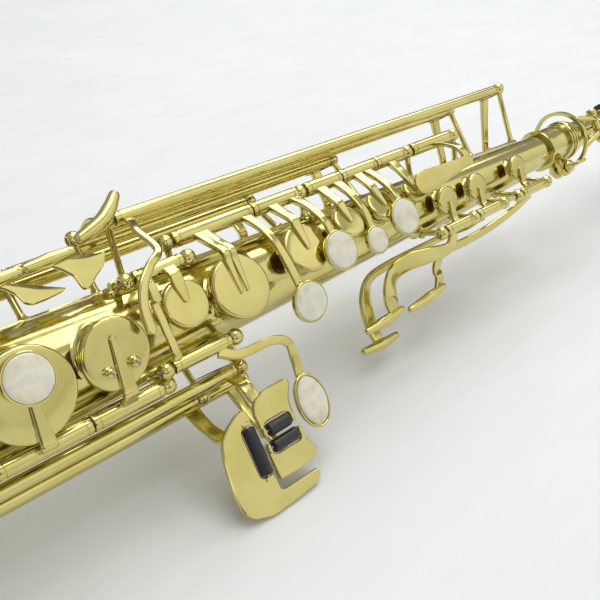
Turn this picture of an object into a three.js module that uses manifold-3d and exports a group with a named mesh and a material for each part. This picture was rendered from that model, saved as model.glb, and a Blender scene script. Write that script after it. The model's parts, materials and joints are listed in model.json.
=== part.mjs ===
// A straight B-flat soprano saxophone, lying on its left side.
// Design frame, in millimetres: X to the player's left, Y from the bell rim toward the
// neck, Z to the front, where the pearls are. Places are given as an angle around the bore
// (0 at the front, positive to the player's left), a radius and a distance from the rim.
import * as THREE from 'three';
import { mergeVertices } from 'three/addons/utils/BufferGeometryUtils.js';
import Module from 'manifold-3d';

const wasm = await Module();
wasm.setup();

// ---------------------------------------------------------------- driving dimensions
const NECK_TIP = 650;          // from the bell rim to the end of the neck
const TIP_DIAMETER = 11;       // outside of the neck there
const CONE_RATE = 0.06;        // growth of the outside diameter per millimetre
const WALL = 0.9;
const BODY_START = 50;         // bell end of the body tube
const BODY_END = 575;          // neck end of the body tube
const BELL_RADIUS = 46.5;
const RESTING_ROLL = 54.2;     // turn about the bore as it lies on its left side, degrees
const GAP = 0.3;               // clearance between parts that touch
const SLIVER = 0.02;           // detail below this is merged away
const CHIMNEY = 2.2;           // tone hole rim above the body
const CHIMNEY_WALL = 1;
const PAD_OVERHANG = 2.2;      // cup edge beyond the tone hole rim
const CUP_HEIGHT = 3;
const ROD_RADIUS = 1;
const BORE_RADIUS = 1.5;       // of a hinge tube, on its corners
const HINGE_TUBE = 2.3;
const STACK_TUBE = 2.7;
const BALL = 2.6;              // post head
const BALL_LENGTH = 4;
const POST_RADIUS = 1.3;
const RIB_WIDTH = 4.4;
const RIB_THICKNESS = 1.2;
const ARM_WIDTH = 4;
const ARM_THICKNESS = 1.6;
const PLATE = 1.6;             // thickness of touch plates
const PEARL_DIAMETER = 12.6;
const SMALL_PEARL = 9;
const ROLLER_RADIUS = 2.2;

const radians = THREE.MathUtils.degToRad;
const bodyRadius = (s) => (TIP_DIAMETER + CONE_RATE * (NECK_TIP - s)) / 2;
const point = (x, s, z) => new THREE.Vector3(x, s, z);
const outward = (angle) => point(Math.sin(radians(angle)), 0, Math.cos(radians(angle)));
const around = (angle, r, s) => outward(angle).multiplyScalar(r).setY(s);

// Hinge lines run along the body, each at one place in cross-section.
const line = (x, z) => ({ x, z, r: Math.hypot(x, z), angle: Math.atan2(x, z) });
const UPPER = line(-21.5, 9.5);
const LOWER = line(18.5, 14.5);
const G_SHARP = line(-14.4, 16);
const G_SHARP_LEVER = line(14.2, 17.2);
const LOW_C_SHARP = line(24.5, 7.5);
const LOW_B_FLAT = line(28.5, 1.5);
const LOW_B = line(30, -5.5);
const HIGH_F_SHARP = line(-35, 1);
const HIGH_E = line(-34, -5);
const SIDE_C = line(-31, -10.5);
const SIDE_B_FLAT = line(-27, -15);
const PALM = line(14.05, 15.6);
const RIGHT_PINKY = line(-20.5, 14.4);
const THUMB = line(4, -21.5);
const BODY_OCTAVE = line(11, -15.5);

// Tone holes: distance from the rim, angle, cup diameter and how far the pad lifts.
const hole = (s, angle, cup, lift) => ({ s, angle, cup, lift });
const HOLES = {
  lowBFlat: hole(74, 140, 27, 4),
  lowB: hole(104.5, 140, 26, 4),
  lowCSharp: hole(128, 20, 25, 3.4),
  lowC: hole(163, -8, 27, 3.6),
  eFlat: hole(198, -100, 22, 3.2),
  d: hole(231, 5, 27, 2.8),
  e: hole(262, 5, 26.6, 2.7),
  f: hole(294, 7, 26.4, 2.6),
  fSharp: hole(320, 6.5, 21.2, 2.5),
  gSharp: hole(348, -5, 15.6, 2.6),
  g: hole(367, 5, 21, 2.5),
  a: hole(398, -5, 17.4, 2.3),
  bis: hole(421.5, -14, 12.6, 2.1),
  b: hole(441, -17, 13.4, 2),
  smallC: hole(461, -20, 10.4, 1.8),
  sideBFlat: hole(398, -150, 14, 2.4),
  sideC: hole(441, -150, 13, 2.4),
  palmD: hole(478, 12, 12, 2.3),
  palmEFlat: hole(499, 12, 11.5, 2.2),
  palmF: hole(531, 12, 11, 2.1),
  highE: hole(514, -150, 11.5, 2.2),
  highFSharp: hole(546, -150, 10.8, 2.1),
  octave: hole(495, -175, 6.8, 1.2),
};

const brass = { color: 0xd0bb66, metalness: 1, roughness: 0.2 };
const nacre = { color: 0xf1ece0, metalness: 0, roughness: 0.25 };
const ebonite = { color: 0x111111, metalness: 0, roughness: 0.2 };
const corkColour = { color: 0xb98f5e, metalness: 0, roughness: 0.9 };
const cane = { color: 0xe2cf97, metalness: 0, roughness: 0.6 };

// ---------------------------------------------------------------- solids
// A closed geometry as a solid, with its faces turned outward.
function solid(geometry) {
  const bare = geometry.index ? geometry.clone() : geometry;
  bare.deleteAttribute('normal');
  bare.deleteAttribute('uv');
  const merged = mergeVertices(bare, 1e-4);
  const at = merged.attributes.position;
  const kept = [];
  let volume = 0;
  const [a, b, c] = [point(), point(), point()];
  for (let i = 0; i < merged.index.count; i += 3) {
    const [p, q, r] = [0, 1, 2].map((k) => merged.index.getX(i + k));
    if (p === q || q === r || r === p) continue;
    kept.push(p, q, r);
    a.fromBufferAttribute(at, p);
    b.fromBufferAttribute(at, q);
    c.fromBufferAttribute(at, r);
    volume += a.dot(b.cross(c));
  }
  if (volume < 0) kept.reverse();
  return new wasm.Manifold(new wasm.Mesh({
    numProp: 3,
    vertProperties: new Float32Array(at.array),
    triVerts: new Uint32Array(kept),
  }));
}

const join = (...parts) => parts.flat().reduce((whole, part) => whole.add(part));

// A solid as a geometry, with the slivers that joining leaves merged away.
function toGeometry(manifold) {
  const mesh = manifold.asOriginal().simplify(SLIVER).getMesh();
  const geometry = new THREE.BufferGeometry();
  geometry.setAttribute('position', new THREE.BufferAttribute(mesh.vertProperties, 3));
  geometry.setIndex(new THREE.BufferAttribute(mesh.triVerts, 1));
  geometry.computeVertexNormals();
  return geometry;
}

// Moves a geometry so that its Y axis lies along `along` and its Z axis toward `facing`.
function settle(geometry, origin, along, facing) {
  const y = along.clone().normalize();
  const x = y.clone().cross(facing).normalize();
  const z = x.clone().cross(y);
  return geometry.applyMatrix4(new THREE.Matrix4().makeBasis(x, y, z).setPosition(origin));
}

const anyAcross = (v) => (Math.abs(v.y) < 0.9 * v.length() ? point(0, 1, 0) : point(1, 0, 0));

function revolve(profile, sides) {
  const points = profile.map(([r, s]) => new THREE.Vector2(r, s));
  return new THREE.LatheGeometry(points, sides);
}

// A round solid about the bore, or about a hinge line.
const turned = (profile, sides = 24, at = { x: 0, z: 0 }) =>
  solid(revolve(profile, sides).translate(at.x, 0, at.z));

const sleeve = (inner, outer, s0, s1, sides, at) =>
  turned([[inner, s0], [outer, s0], [outer, s1], [inner, s1], [inner, s0]], sides, at);

const cylinder = (radius, s0, s1, sides, at) =>
  turned([[0, s0], [radius, s0], [radius, s1], [0, s1]], sides, at);

// A round solid standing on `origin` along `direction`.
const stood = (profile, origin, direction, sides = 16) =>
  solid(settle(revolve(profile, sides), origin, direction, anyAcross(direction)));

function stick(from, to, radius, sides = 8) {
  const length = from.distanceTo(to);
  return stood([[0, 0], [radius, 0], [radius, length], [0, length]], from,
    to.clone().sub(from), sides);
}

// A flat bar from one point to another, its broad side toward `facing`.
function bar(from, to, width, thickness, facing) {
  const length = from.distanceTo(to);
  const box = new THREE.BoxGeometry(width, length, thickness).translate(0, length / 2, 0);
  return solid(settle(box, from, to.clone().sub(from), facing));
}

// Bars end to end, each a little long so that the corners are filled.
function strap(points, width = ARM_WIDTH, thickness = ARM_THICKNESS, facing = point(0, 0, 1)) {
  const bars = [];
  for (let i = 1; i < points.length; i += 1) {
    const along = points[i].clone().sub(points[i - 1]).normalize();
    const start = points[i - 1].clone().addScaledVector(along, i > 1 ? -thickness / 2 : 0);
    bars.push(bar(start, points[i], width, thickness, facing));
  }
  return join(bars);
}

// A flat plate with the given outline in X and Y, its lower face at height z.
function plate(outline, z, thickness = PLATE) {
  const shape = new THREE.Shape(outline.map(([x, s]) => new THREE.Vector2(x, s)));
  const geometry = new THREE.ExtrudeGeometry(shape, { depth: thickness, bevelEnabled: false });
  return solid(geometry.translate(0, 0, z));
}

// ---------------------------------------------------------------- scene graph
const saxophone = new THREE.Group();
const neck = new THREE.Group();
saxophone.add(neck);

function named(name, manifold, look, parent = saxophone) {
  const mesh = new THREE.Mesh(toGeometry(manifold), new THREE.MeshStandardMaterial(look));
  mesh.name = name;
  parent.add(mesh);
  return mesh;
}

// ---------------------------------------------------------------- keys
const seat = (h) => bodyRadius(h.s) + CHIMNEY + GAP;
const cupTop = (h) => around(h.angle, seat(h) + CUP_HEIGHT, h.s);

function cup(h) {
  const r = h.cup / 2;
  const profile = [[0, 0], [r, 0], [r, 1.7], [r - 1.1, CUP_HEIGHT], [0, CUP_HEIGHT]];
  return stood(profile, around(h.angle, seat(h), h.s), outward(h.angle), h.cup > 18 ? 12 : 8);
}

// The turn about a hinge line that lifts a pad off its tone hole, in radians.
const lifting = (at, h) => h.lift / (at.r * Math.sin(at.angle - radians(h.angle)));

// Parts given where they are at rest, moved to where they are when their key is closed.
const fromRest = (parts, at, open) => join(parts).translate([-at.x, 0, -at.z])
  .rotate([0, -THREE.MathUtils.radToDeg(open), 0]).translate([at.x, 0, at.z]);

// An arm from a hinge tube, over the edge of its cup, to the middle of the cup.
function cupArm(at, h, s = h.s, width = ARM_WIDTH) {
  const up = outward(h.angle);
  const top = cupTop(h).setY(s);
  const hinge = point(at.x, s, at.z);
  const aside = hinge.clone().sub(top);
  aside.addScaledVector(up, -aside.dot(up)).setY(0);
  const reach = Math.min(h.cup / 2 + 1.4, aside.length() - 1);
  const knee = top.clone().addScaledVector(aside.normalize(), reach).addScaledVector(up, 0.5);
  hinge.addScaledVector(knee.clone().sub(hinge).normalize(), 1.9);
  return strap([hinge, knee, top], width, ARM_THICKNESS, up);
}

function dish(centre, facing, diameter) {
  const inner = diameter / 2 + GAP;
  const outer = inner + 0.8;
  const profile = [[0, 0], [outer, 0], [outer, 2.2], [inner, 2.2], [inner, 0.8], [0, 0.8]];
  return stood(profile, centre, facing, 10);
}

const pearlIn = (diameter) => revolve(
  [[0, 1.1], [diameter / 2, 1.1], [diameter / 2, 2.3], [diameter / 3, 3], [0, 3]], 10);

// A key that turns on a hinge line. An open key is built closed and then turned open.
function key(name, at, span, parts, open = 0, tube = HINGE_TUBE) {
  const whole = join(cylinder(tube, span[0], span[1], 8, at), parts)
    .subtract(cylinder(BORE_RADIUS, span[0] - 1, span[1] + 1, 6, at));
  const middle = (span[0] + span[1]) / 2;
  const pivot = new THREE.Group();
  pivot.position.set(at.x, middle, at.z);
  pivot.rotation.y = open;
  saxophone.add(pivot);
  named(name, whole.translate([-at.x, -middle, -at.z]), brass, pivot);
  return pivot;
}

// A group on a key that keeps the directions of the design frame at rest.
function level(pivot) {
  const group = new THREE.Group();
  group.rotation.y = -pivot.rotation.y;
  pivot.add(group);
  return group;
}

// A pearl, set in the dish that its key carries.
function addPearl(name, group, pivot, centre, facing, diameter, stretch = 1) {
  const geometry = pearlIn(diameter).scale(stretch, 1, 1);
  settle(geometry, centre.clone().sub(pivot.position), facing, point(0, 1, 0));
  return named(name, solid(geometry), nacre, group);
}

// ---------------------------------------------------------------- posts
// A rib soldered along the body, with posts to the hinge lines and their steel rods.
function rib(angle, s0, s1) {
  const under = (s) => around(angle, bodyRadius(s) + GAP + RIB_THICKNESS / 2, s);
  return bar(under(s0), under(s1), RIB_WIDTH, RIB_THICKNESS, outward(angle));
}

function postRow(name, angle, s0, s1, rows) {
  const parts = [rib(angle, s0, s1)];
  for (const [at, stations] of rows) {
    for (const s of stations) {
      const foot = around(angle, bodyRadius(s) + GAP + RIB_THICKNESS * 0.9, s);
      parts.push(stick(foot, point(at.x, s, at.z), POST_RADIUS, 4));
      parts.push(cylinder(BALL, s - BALL_LENGTH / 2, s + BALL_LENGTH / 2, 6, at));
    }
    parts.push(cylinder(ROD_RADIUS, stations[0], stations[stations.length - 1], 6, at));
  }
  return named(name, join(parts), brass);
}

// ---------------------------------------------------------------- body and bell
function bodyTube() {
  const bore = (s) => bodyRadius(s) - WALL;
  let tube = turned([[0, BODY_START], [bodyRadius(BODY_START), BODY_START],
    [bodyRadius(BODY_END), BODY_END], [0, BODY_END]], 16);
  const holes = [];
  for (const h of Object.values(HOLES)) {
    const outer = h.cup / 2 - PAD_OVERHANG;
    const sides = h.cup > 18 ? 10 : 8;
    const foot = around(h.angle, bodyRadius(h.s) * 0.4, h.s);
    const rim = around(h.angle, bodyRadius(h.s) + CHIMNEY, h.s);
    tube = tube.add(stick(foot, rim, outer, sides));
    holes.push(stick(around(h.angle, 0.5, h.s), around(h.angle, bodyRadius(h.s) + 6, h.s),
      Math.max(outer - CHIMNEY_WALL, 0.6), sides));
  }
  const inside = turned([[0, BODY_START - 1], [bore(BODY_START - 1), BODY_START - 1],
    [bore(BODY_END + 1), BODY_END + 1], [0, BODY_END + 1]], 16);
  return tube.subtract(join(inside, holes));
}

// Outside of the bell beyond its rim bead: distance from the rim and radius.
const FLARE = [[6, 42], [12, 37.6], [20, 33], [30, 28.8], [40, 25.7]];
const BEAD = 2.2;
const COLLAR = { start: BODY_START - 4, end: BODY_START + 7, thickness: 1.6 };

function bell() {
  const outside = FLARE.map(([s, r]) => [r, s]);
  const inside = FLARE.map(([s, r]) => [r - WALL, s]).reverse();
  const shoulder = BODY_START - GAP;
  const { start, end, thickness } = COLLAR;
  const rim = [BELL_RADIUS - BEAD, 0];
  return turned([rim, [BELL_RADIUS, 0], [BELL_RADIUS, BEAD], [BELL_RADIUS - 1.4, BEAD],
    ...outside, [bodyRadius(start) + 0.4, start], [bodyRadius(start) + GAP + thickness, start],
    [bodyRadius(end) + GAP + thickness, end], [bodyRadius(end) + GAP, end],
    [bodyRadius(shoulder) + GAP, shoulder], [bodyRadius(shoulder) - WALL, shoulder],
    ...inside, [BELL_RADIUS - BEAD - 0.9, BEAD], rim], 20);
}

named('body_tube', bodyTube(), brass);
named('bell', bell(), brass);

// ---------------------------------------------------------------- ribs and posts
postRow('upper_stack_rib', -62, 330, 506,
  [[G_SHARP, [334.2, 356.5]], [UPPER, [355, 413, 472.5, 503]]]);
postRow('lower_stack_rib', 62, 213, 362,
  [[LOWER, [215.5, 278, 333.6]], [G_SHARP_LEVER, [333.8, 359.8]]]);
postRow('side_key_rib', -112, 283, 560, [[HIGH_F_SHARP, [343.5, 557.5]],
  [HIGH_E, [333.5, 525.5]], [SIDE_C, [309.5, 451.5]], [SIDE_B_FLAT, [285.5, 408.5]]]);
postRow('left_key_rib', 98, 63, 371,
  [[LOW_C_SHARP, [118.5, 362.5]], [LOW_B_FLAT, [65.5, 348.5]], [LOW_B, [94.5, 368.5]]]);
postRow('palm_key_rib', 62, 464, 546, [[PALM, [466.5, 488, 509.5, 520.5, 543.5]]]);
postRow('octave_rib', 158, 445, 566,
  [[THUMB, [447.5, 563.5]], [BODY_OCTAVE, [483.5, 506.5]]]);
postRow('right_pinky_rib', -60, 150, 216, [[RIGHT_PINKY, [152.5, 213.5]]]);

// ---------------------------------------------------------------- stack keys
// A key of either stack: its cup and arm, and a pearl given where it is at rest. A pearl is
// on an arm of its own from `pearl.arm` along the tube, or else on a stem above the cup.
function stackKey(name, at, span, h, pearl, tube = STACK_TUBE) {
  const open = lifting(at, h);
  const parts = [cup(h), cupArm(at, h)];
  const facing = pearl ? outward(pearl.tilt) : null;
  if (pearl) {
    const holder = [dish(pearl.place, facing, pearl.diameter)];
    if (pearl.arm) {
      const root = point(at.x, pearl.arm, at.z);
      const above = around(-24, pearl.place.z + 1, pearl.arm);
      root.addScaledVector(above.clone().sub(root).normalize(), 1.9);
      holder.push(strap([root, above, pearl.place], 3, ARM_THICKNESS));
    } else {
      holder.push(stick(pearl.place, pearl.place.clone().addScaledVector(facing, -3), 3));
    }
    parts.push(fromRest(holder, at, open));
  }
  const pivot = key(name, at, span, parts, open, tube);
  if (pearl) addPearl(pearl.name, level(pivot), pivot, pearl.place, facing, pearl.diameter);
}

const pearlAt = (name, place, tilt, arm, diameter = PEARL_DIAMETER) =>
  ({ name, place, tilt, arm, diameter });

// The dish of a pearl is 3 below the pearl's own crown.
stackKey('g_key', UPPER, [357.4, 389.5], HOLES.g,
  pearlAt('g_pearl', point(14, 388, 21.5), 12, 386));
stackKey('a_key', UPPER, [389.9, 410.6], HOLES.a,
  pearlAt('a_pearl', point(3, 408, 22.5), 3, 408));
stackKey('bis_key', UPPER, [415.4, 433], HOLES.bis,
  pearlAt('bis_pearl', point(5.2, 428.6, 19), 6, 430, SMALL_PEARL));
stackKey('b_key', UPPER, [433.4, 452.4], HOLES.b,
  pearlAt('b_pearl', point(1.6, 444.6, 20.6), 4, 446.5));
stackKey('c_key', UPPER, [452.8, 470], HOLES.smallC);

const LOWER_SPANS = { d: [217.9, 246.3], e: [246.7, 275.6], f: [280.4, 307.8] };
for (const note of ['f', 'e', 'd']) {
  const h = HOLES[note];
  const crown = bodyRadius(h.s) + CHIMNEY + CUP_HEIGHT + h.lift + 1.6;
  stackKey(`${note}_key`, LOWER, LOWER_SPANS[note], h,
    pearlAt(`${note}_pearl`, point(-0.4, h.s + 0.5, crown), 2, 0));
}
stackKey('f_sharp_key', LOWER, [308.2, 331.2], HOLES.fSharp);

// ---------------------------------------------------------------- G sharp
const LIFTER = [336.6, 339.6];      // stretch where the lever lifts the key
const TAB_HEIGHT = 21.4;
const lifterS = (LIFTER[0] + LIFTER[1]) / 2;

function gSharp() {
  const tab = strap([point(G_SHARP.x + 0.9, lifterS, G_SHARP.z + 1.7),
    point(-12.4, lifterS, TAB_HEIGHT + 0.8), point(-5, lifterS, TAB_HEIGHT + 0.8)], 3, 1.5);
  key('g_sharp_key', G_SHARP, [LIFTER[0], 354.1],
    [cup(HOLES.gSharp), cupArm(G_SHARP, HOLES.gSharp), tab]);
}

function gSharpLever() {
  const at = G_SHARP_LEVER;
  const touch = point(44.2, 376.4, 16.2);
  const finger = strap([point(at.x - 1.8, lifterS, at.z + 0.8), point(10.6, lifterS, 19.6),
    point(-6.5, lifterS, 19.7)], 2.6, 1.4);
  const arm = strap([point(at.x + 1.9, 352, at.z + 0.4), point(19.6, 358, 18.8),
    point(20.4, 370.6, 19), point(23.6, 376.4, 18.4), point(30, 377.4, 16.6),
    point(39, 376.6, 15.7)], 3.4, 1.6);
  const oval = dish(touch, outward(0), PEARL_DIAMETER - 1.4)
    .translate([-touch.x, 0, 0]).scale([1.5, 1, 1]).translate([touch.x, 0, 0]);
  const pivot = key('g_sharp_lever', at, [336.2, 357.4], [finger, arm, oval]);
  addPearl('g_sharp_pearl', pivot, pivot, touch, outward(0), PEARL_DIAMETER - 1.8, 1.5);
}

gSharp();
gSharpLever();

// ---------------------------------------------------------------- left little finger table
const TABLE_Z = 15.6;

// A roller on a pin between two ears that stand on a plate with its top at z.
// The axis lies along X, or along Y when `lengthwise`.
function rollerMount(centre, length, lengthwise) {
  const along = lengthwise ? point(0, 1, 0) : point(1, 0, 0);
  const ends = [-1, 1].map((side) =>
    centre.clone().addScaledVector(along, side * (length / 2 + 1.3)));
  const ears = ends.map((p) => solid(new THREE.BoxGeometry(
    lengthwise ? 3.4 : 1.5, lengthwise ? 1.5 : 3.4, 3.6).translate(p.x, p.y, p.z - 1)));
  return [stick(ends[0], ends[1], 0.7), ...ears];
}

function roller(name, pivot, centre, length, lengthwise) {
  const profile = [[1.1, -length / 2], [ROLLER_RADIUS, -length / 2],
    [ROLLER_RADIUS, length / 2], [1.1, length / 2], [1.1, -length / 2]];
  const mesh = named(name, solid(revolve(profile, 10)), ebonite, level(pivot));
  mesh.position.copy(centre.clone().sub(pivot.position));
  mesh.rotation.z = lengthwise ? 0 : -Math.PI / 2;
}

// A key whose touch is given at rest, and which stands open or closed.
function tableKey(name, at, span, h, touch, open = 0) {
  return key(name, at, span, [cup(h), cupArm(at, h), fromRest(touch, at, open)], open);
}

function lowCSharp() {
  const at = LOW_C_SHARP;
  const centre = point(45.4, 361.4, TABLE_Z + 1.4);
  const leaf = plate([[33.2, 370.4], [33.2, 362], [34.8, 356.6], [38, 354.6], [46.8, 354.6],
    [46.8, 356.3], [42.8, 356.3], [42.8, 366.5], [46.8, 366.5], [46.8, 368.2], [40.4, 368.4],
    [37, 370.4], [34.6, 371.8]], TABLE_Z);
  const arm = strap([point(at.x + 1.6, 358, at.z + 1), point(30, 358, 13.5),
    point(36, 358, TABLE_Z + 0.6)], 4.4, 1.6);
  const pivot = tableKey('low_c_sharp_key', at, [121, 360], HOLES.lowCSharp,
    [leaf, arm, ...rollerMount(centre, 9, true)]);
  roller('upper_roller', pivot, centre, 9, true);
}

function lowB() {
  const at = LOW_B;
  const centre = point(50.7, 361.4, TABLE_Z + 1.4);
  const leaf = plate([[49.2, 353.9], [61, 353.9], [61.4, 362], [60.8, 369.6], [58, 371.4],
    [54.6, 369.1], [49.2, 369.1], [49.2, 367.3], [53.4, 367.3], [53.4, 355.7], [49.2, 355.7]],
  TABLE_Z);
  const arm = strap([point(at.x + 1.9, 363, at.z + 0.5), point(46, 363, 3),
    point(58, 363, TABLE_Z + 0.6)], 3.6, 1.6);
  const pivot = tableKey('low_b_key', at, [97, 366], HOLES.lowB,
    [leaf, arm, ...rollerMount(centre, 10.4, true)], lifting(at, HOLES.lowB));
  roller('short_roller', pivot, centre, 10.4, true);
}

function lowBFlat() {
  const at = LOW_B_FLAT;
  const centre = point(49.3, 350.6, TABLE_Z + 1.4);
  const leaf = plate([[35.4, 352.8], [35.8, 349], [38.4, 343.8], [41.4, 340.4], [47, 338.6],
    [56, 337.4], [63.4, 337.6], [67, 340], [69.4, 347], [69.2, 358], [68.4, 366.2],
    [66.4, 368.8], [64.2, 368.4], [64.2, 352.8], [57.6, 352.8], [57.6, 348], [41, 348],
    [41, 352.8]], TABLE_Z);
  const arm = strap([point(at.x + 1.9, 342.8, at.z + 0.4), point(37, 342.8, 8),
    point(42, 342.8, TABLE_Z + 0.6)], 4.6, 1.6);
  const pivot = tableKey('low_b_flat_key', at, [68, 346], HOLES.lowBFlat,
    [leaf, arm, ...rollerMount(centre, 15.8, false)], lifting(at, HOLES.lowBFlat));
  roller('long_roller', pivot, centre, 15.8, false);
}

lowCSharp();
lowB();
lowBFlat();

// ---------------------------------------------------------------- right little finger keys
const PINKY_Z = 25.4;

// A touch from s0 to s1 on an arm from the hinge tube.
function pinkyTouch(s0, s1) {
  const middle = (s0 + s1) / 2;
  const at = RIGHT_PINKY;
  const leaf = plate([[-13, s0], [2.2, s0], [4, s0 + 2], [4, s1 - 2], [2.2, s1], [-13, s1]],
    PINKY_Z);
  const arm = strap([point(at.x + 0.9, middle, at.z + 1.7), point(-15.6, middle, PINKY_Z + 0.8),
    point(-12, middle, PINKY_Z + 0.8)], 4.4, 1.6);
  return [leaf, arm];
}

// The E flat touch has a roller along the edge that faces low C.
function eFlat() {
  const [s0, rollerS] = [203, 200.2];
  const centre = point(-4, rollerS, PINKY_Z + 1.2);
  const tabs = [-9.3, 1.3].map((x) => plate([[x - 0.9, rollerS - 1.6], [x + 0.9, rollerS - 1.6],
    [x + 0.9, s0 + 0.1], [x - 0.9, s0 + 0.1]], PINKY_Z));
  const pivot = tableKey('e_flat_key', RIGHT_PINKY, [190.8, 211], HOLES.eFlat,
    [...pinkyTouch(s0, 211), ...tabs, ...rollerMount(centre, 8, false)]);
  roller('e_flat_roller', pivot, centre, 8, false);
}

eFlat();
tableKey('low_c_key', RIGHT_PINKY, [155, 190.4], HOLES.lowC, pinkyTouch(180.6, 194.6),
  lifting(RIGHT_PINKY, HOLES.lowC));

// ---------------------------------------------------------------- right side keys
function sideKey(name, at, span, h, touch) {
  key(name, at, span, [cup(h), cupArm(at, h), ...touch]);
}

const across = point(1, 0, 0);

sideKey('high_f_sharp_key', HIGH_F_SHARP, [346, 555], HOLES.highFSharp, [
  strap([point(-33.6, 350, 2.4), point(-30.6, 347.4, 10), point(-27.2, 344.8, 15.6),
    point(-19.4, 344.6, 23), point(-15.6, 338.6, 26.2), point(-11.2, 333.6, 27.6), point(-5, 330.8, 27.8),
    point(2.6, 330, 27.8)], 2.6, 1.6)]);

sideKey('high_e_key', HIGH_E, [336, 523], HOLES.highE, [
  strap([point(-35.2, 338.4, -3.4), point(-38, 338.4, 7)], 4, 1.8, across),
  stick(point(-37.4, 338.6, 8.2), point(-41.2, 346.4, 9.2), 2),
  stick(point(-37.6, 339.6, 8.2), point(-31.6, 328.8, 9), 2)]);

// A touch plate lies level beside the body, with its bar along the outer edge.
const SIDE_Z = 7.2;

sideKey('side_c_key', SIDE_C, [312, 449], HOLES.sideC, [
  strap([point(-31.4, 319, -8.6), point(-30, 319, SIDE_Z + 1)], 7, 1.6, across),
  plate([[-30.4, 315.6], [-27.4, 317.6], [-25.2, 320.8], [-21.8, 323.7], [-19.1, 324.1],
    [-17, 325], [-17.2, 327], [-19.6, 330], [-21.8, 333.6], [-25.9, 336], [-25.9, 330.2],
    [-27, 325.4], [-30.4, 322.6]], SIDE_Z),
  stick(point(-28.6, 311, 9.6), point(-28.9, 325.4, 9.6), 2)]);

sideKey('side_b_flat_key', SIDE_B_FLAT, [288, 406], HOLES.sideBFlat, [
  strap([point(-28.2, 301.6, -13.4), point(-30.2, 301.6, -6), point(-29.4, 301.6, SIDE_Z + 1)],
    7, 1.6, across),
  plate([[-29.8, 298.2], [-27.4, 301], [-25, 304.2], [-22.6, 306.2], [-19.4, 307.4],
    [-18.4, 309.4], [-18.4, 314], [-18.8, 318.4], [-19.8, 320.4], [-20.8, 316.4],
    [-22.4, 312.3], [-25.7, 307.6], [-29.8, 305.2]], SIDE_Z),
  stick(point(-27.9, 295, 9.6), point(-28.5, 309, 9.6), 2)]);

// ---------------------------------------------------------------- front and palm keys
key('front_f_key', UPPER, [475, 500.4], [
  plate([[-12, 458], [-8, 454], [-3.6, 456], [-2.6, 463], [-4.6, 474], [-6, 492],
    [-10.4, 492], [-11, 474]], 22.6),
  strap([point(UPPER.x + 1.1, 489, UPPER.z + 1.6), point(-14, 489, 22), point(-8.4, 489, 23.4)])],
0, STACK_TUBE);

function palmKey(name, span, h, route, touch) {
  const parts = [cup(h), cupArm(PALM, h), strap(route, 4, 1.6, point(0.7, 0, 0.7))];
  parts.push(stick(touch[0], touch[1], 2.1));
  key(name, PALM, span, parts);
}

// The palm arms run along the body one outside another, then turn out to their touches.
palmKey('palm_d_key', [469, 485.6], HOLES.palmD, [point(15.9, 473, 15.9),
  point(20.8, 469, 13.4), point(20, 460, 9.6), point(19, 451, 6.6), point(21, 443, 5.2),
  point(27, 438, 5), point(34, 436, 5)], [point(34.6, 440.4, 5), point(35.6, 420, 5)]);
palmKey('palm_e_flat_key', [490.4, 507], HOLES.palmEFlat, [point(15.9, 494, 14.6),
  point(16.4, 491.8, 8), point(16.4, 484, 2), point(16.8, 470, -0.5), point(17.4, 448, -2),
  point(19.6, 438, -4), point(27, 434, -6), point(36, 432, -6), point(43.6, 431, -4.4)],
[point(44, 440, -3.6), point(43.2, 421, -3)]);
palmKey('palm_f_key', [523, 541], HOLES.palmF, [point(15.9, 529, 15.2),
  point(19, 522, 10.5), point(21.6, 508, 6.8), point(22.4, 490, 5.8), point(22.2, 475, 4.8),
  point(26, 469, 4), point(31, 466.8, 4.2), point(35, 463, 4.6)],
[point(34.6, 466.4, 5), point(36.4, 444.6, 5)]);

// ---------------------------------------------------------------- octave mechanism
// The lever ends in a pin that lies inside the ring of the neck octave key.
const PIN = { x: 6.5, z: -10.1, start: 556, end: 594 };

key('octave_thumb_lever', THUMB, [450, 561], [
  plate([[-13, 452], [-2, 450.4], [1, 454], [1, 464], [-2, 468], [-13, 466]], -24.4),
  strap([point(THUMB.x - 1.7, 459, THUMB.z - 0.6), point(-1, 459, -23.6)], 8, 1.4),
  strap([point(THUMB.x + 1.6, 558, THUMB.z + 1.2), point(8.4, 558, -15.4),
    point(PIN.x + 0.4, 558, PIN.z - 0.4)], 3.6, 1.6, point(0.7, 0, -0.7)),
  stick(point(PIN.x, PIN.start, PIN.z), point(PIN.x, PIN.end, PIN.z), 0.8)]);

key('body_octave_key', BODY_OCTAVE, [486, 504],
  [cup(HOLES.octave), cupArm(BODY_OCTAVE, HOLES.octave)]);

// ---------------------------------------------------------------- neck
const RECEIVER = [568, 592];
const SCREW = { x: 13, s: 581.6 };
const TENON_RADIUS = 7.1;

function neckReceiver() {
  const [s0, s1] = RECEIVER;
  const socket = turned([[bodyRadius(s0) + GAP, s0], [9.9, s0], [9.9, s0 + 3], [9.2, s0 + 4],
    [9.2, s1 - 3], [9.9, s1 - 2], [9.9, s1], [TENON_RADIUS + GAP, s1],
    [TENON_RADIUS + GAP, BODY_END + GAP], [bodyRadius(BODY_END) + GAP, BODY_END + GAP],
    [bodyRadius(s0) + GAP, s0]], 18);
  const ears = solid(new THREE.BoxGeometry(8, 8, 7.6).translate(SCREW.x - 0.4, SCREW.s, 0));
  const slit = solid(new THREE.BoxGeometry(12, 20, 1.4).translate(SCREW.x - 0.4, s1 - 5, 0));
  const drill = stick(point(SCREW.x, SCREW.s, -9), point(SCREW.x, SCREW.s, 9), 1.75);
  return join(socket, ears.subtract(cylinder(8.8, s0, s1, 18))).subtract(join(slit, drill));
}

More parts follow.
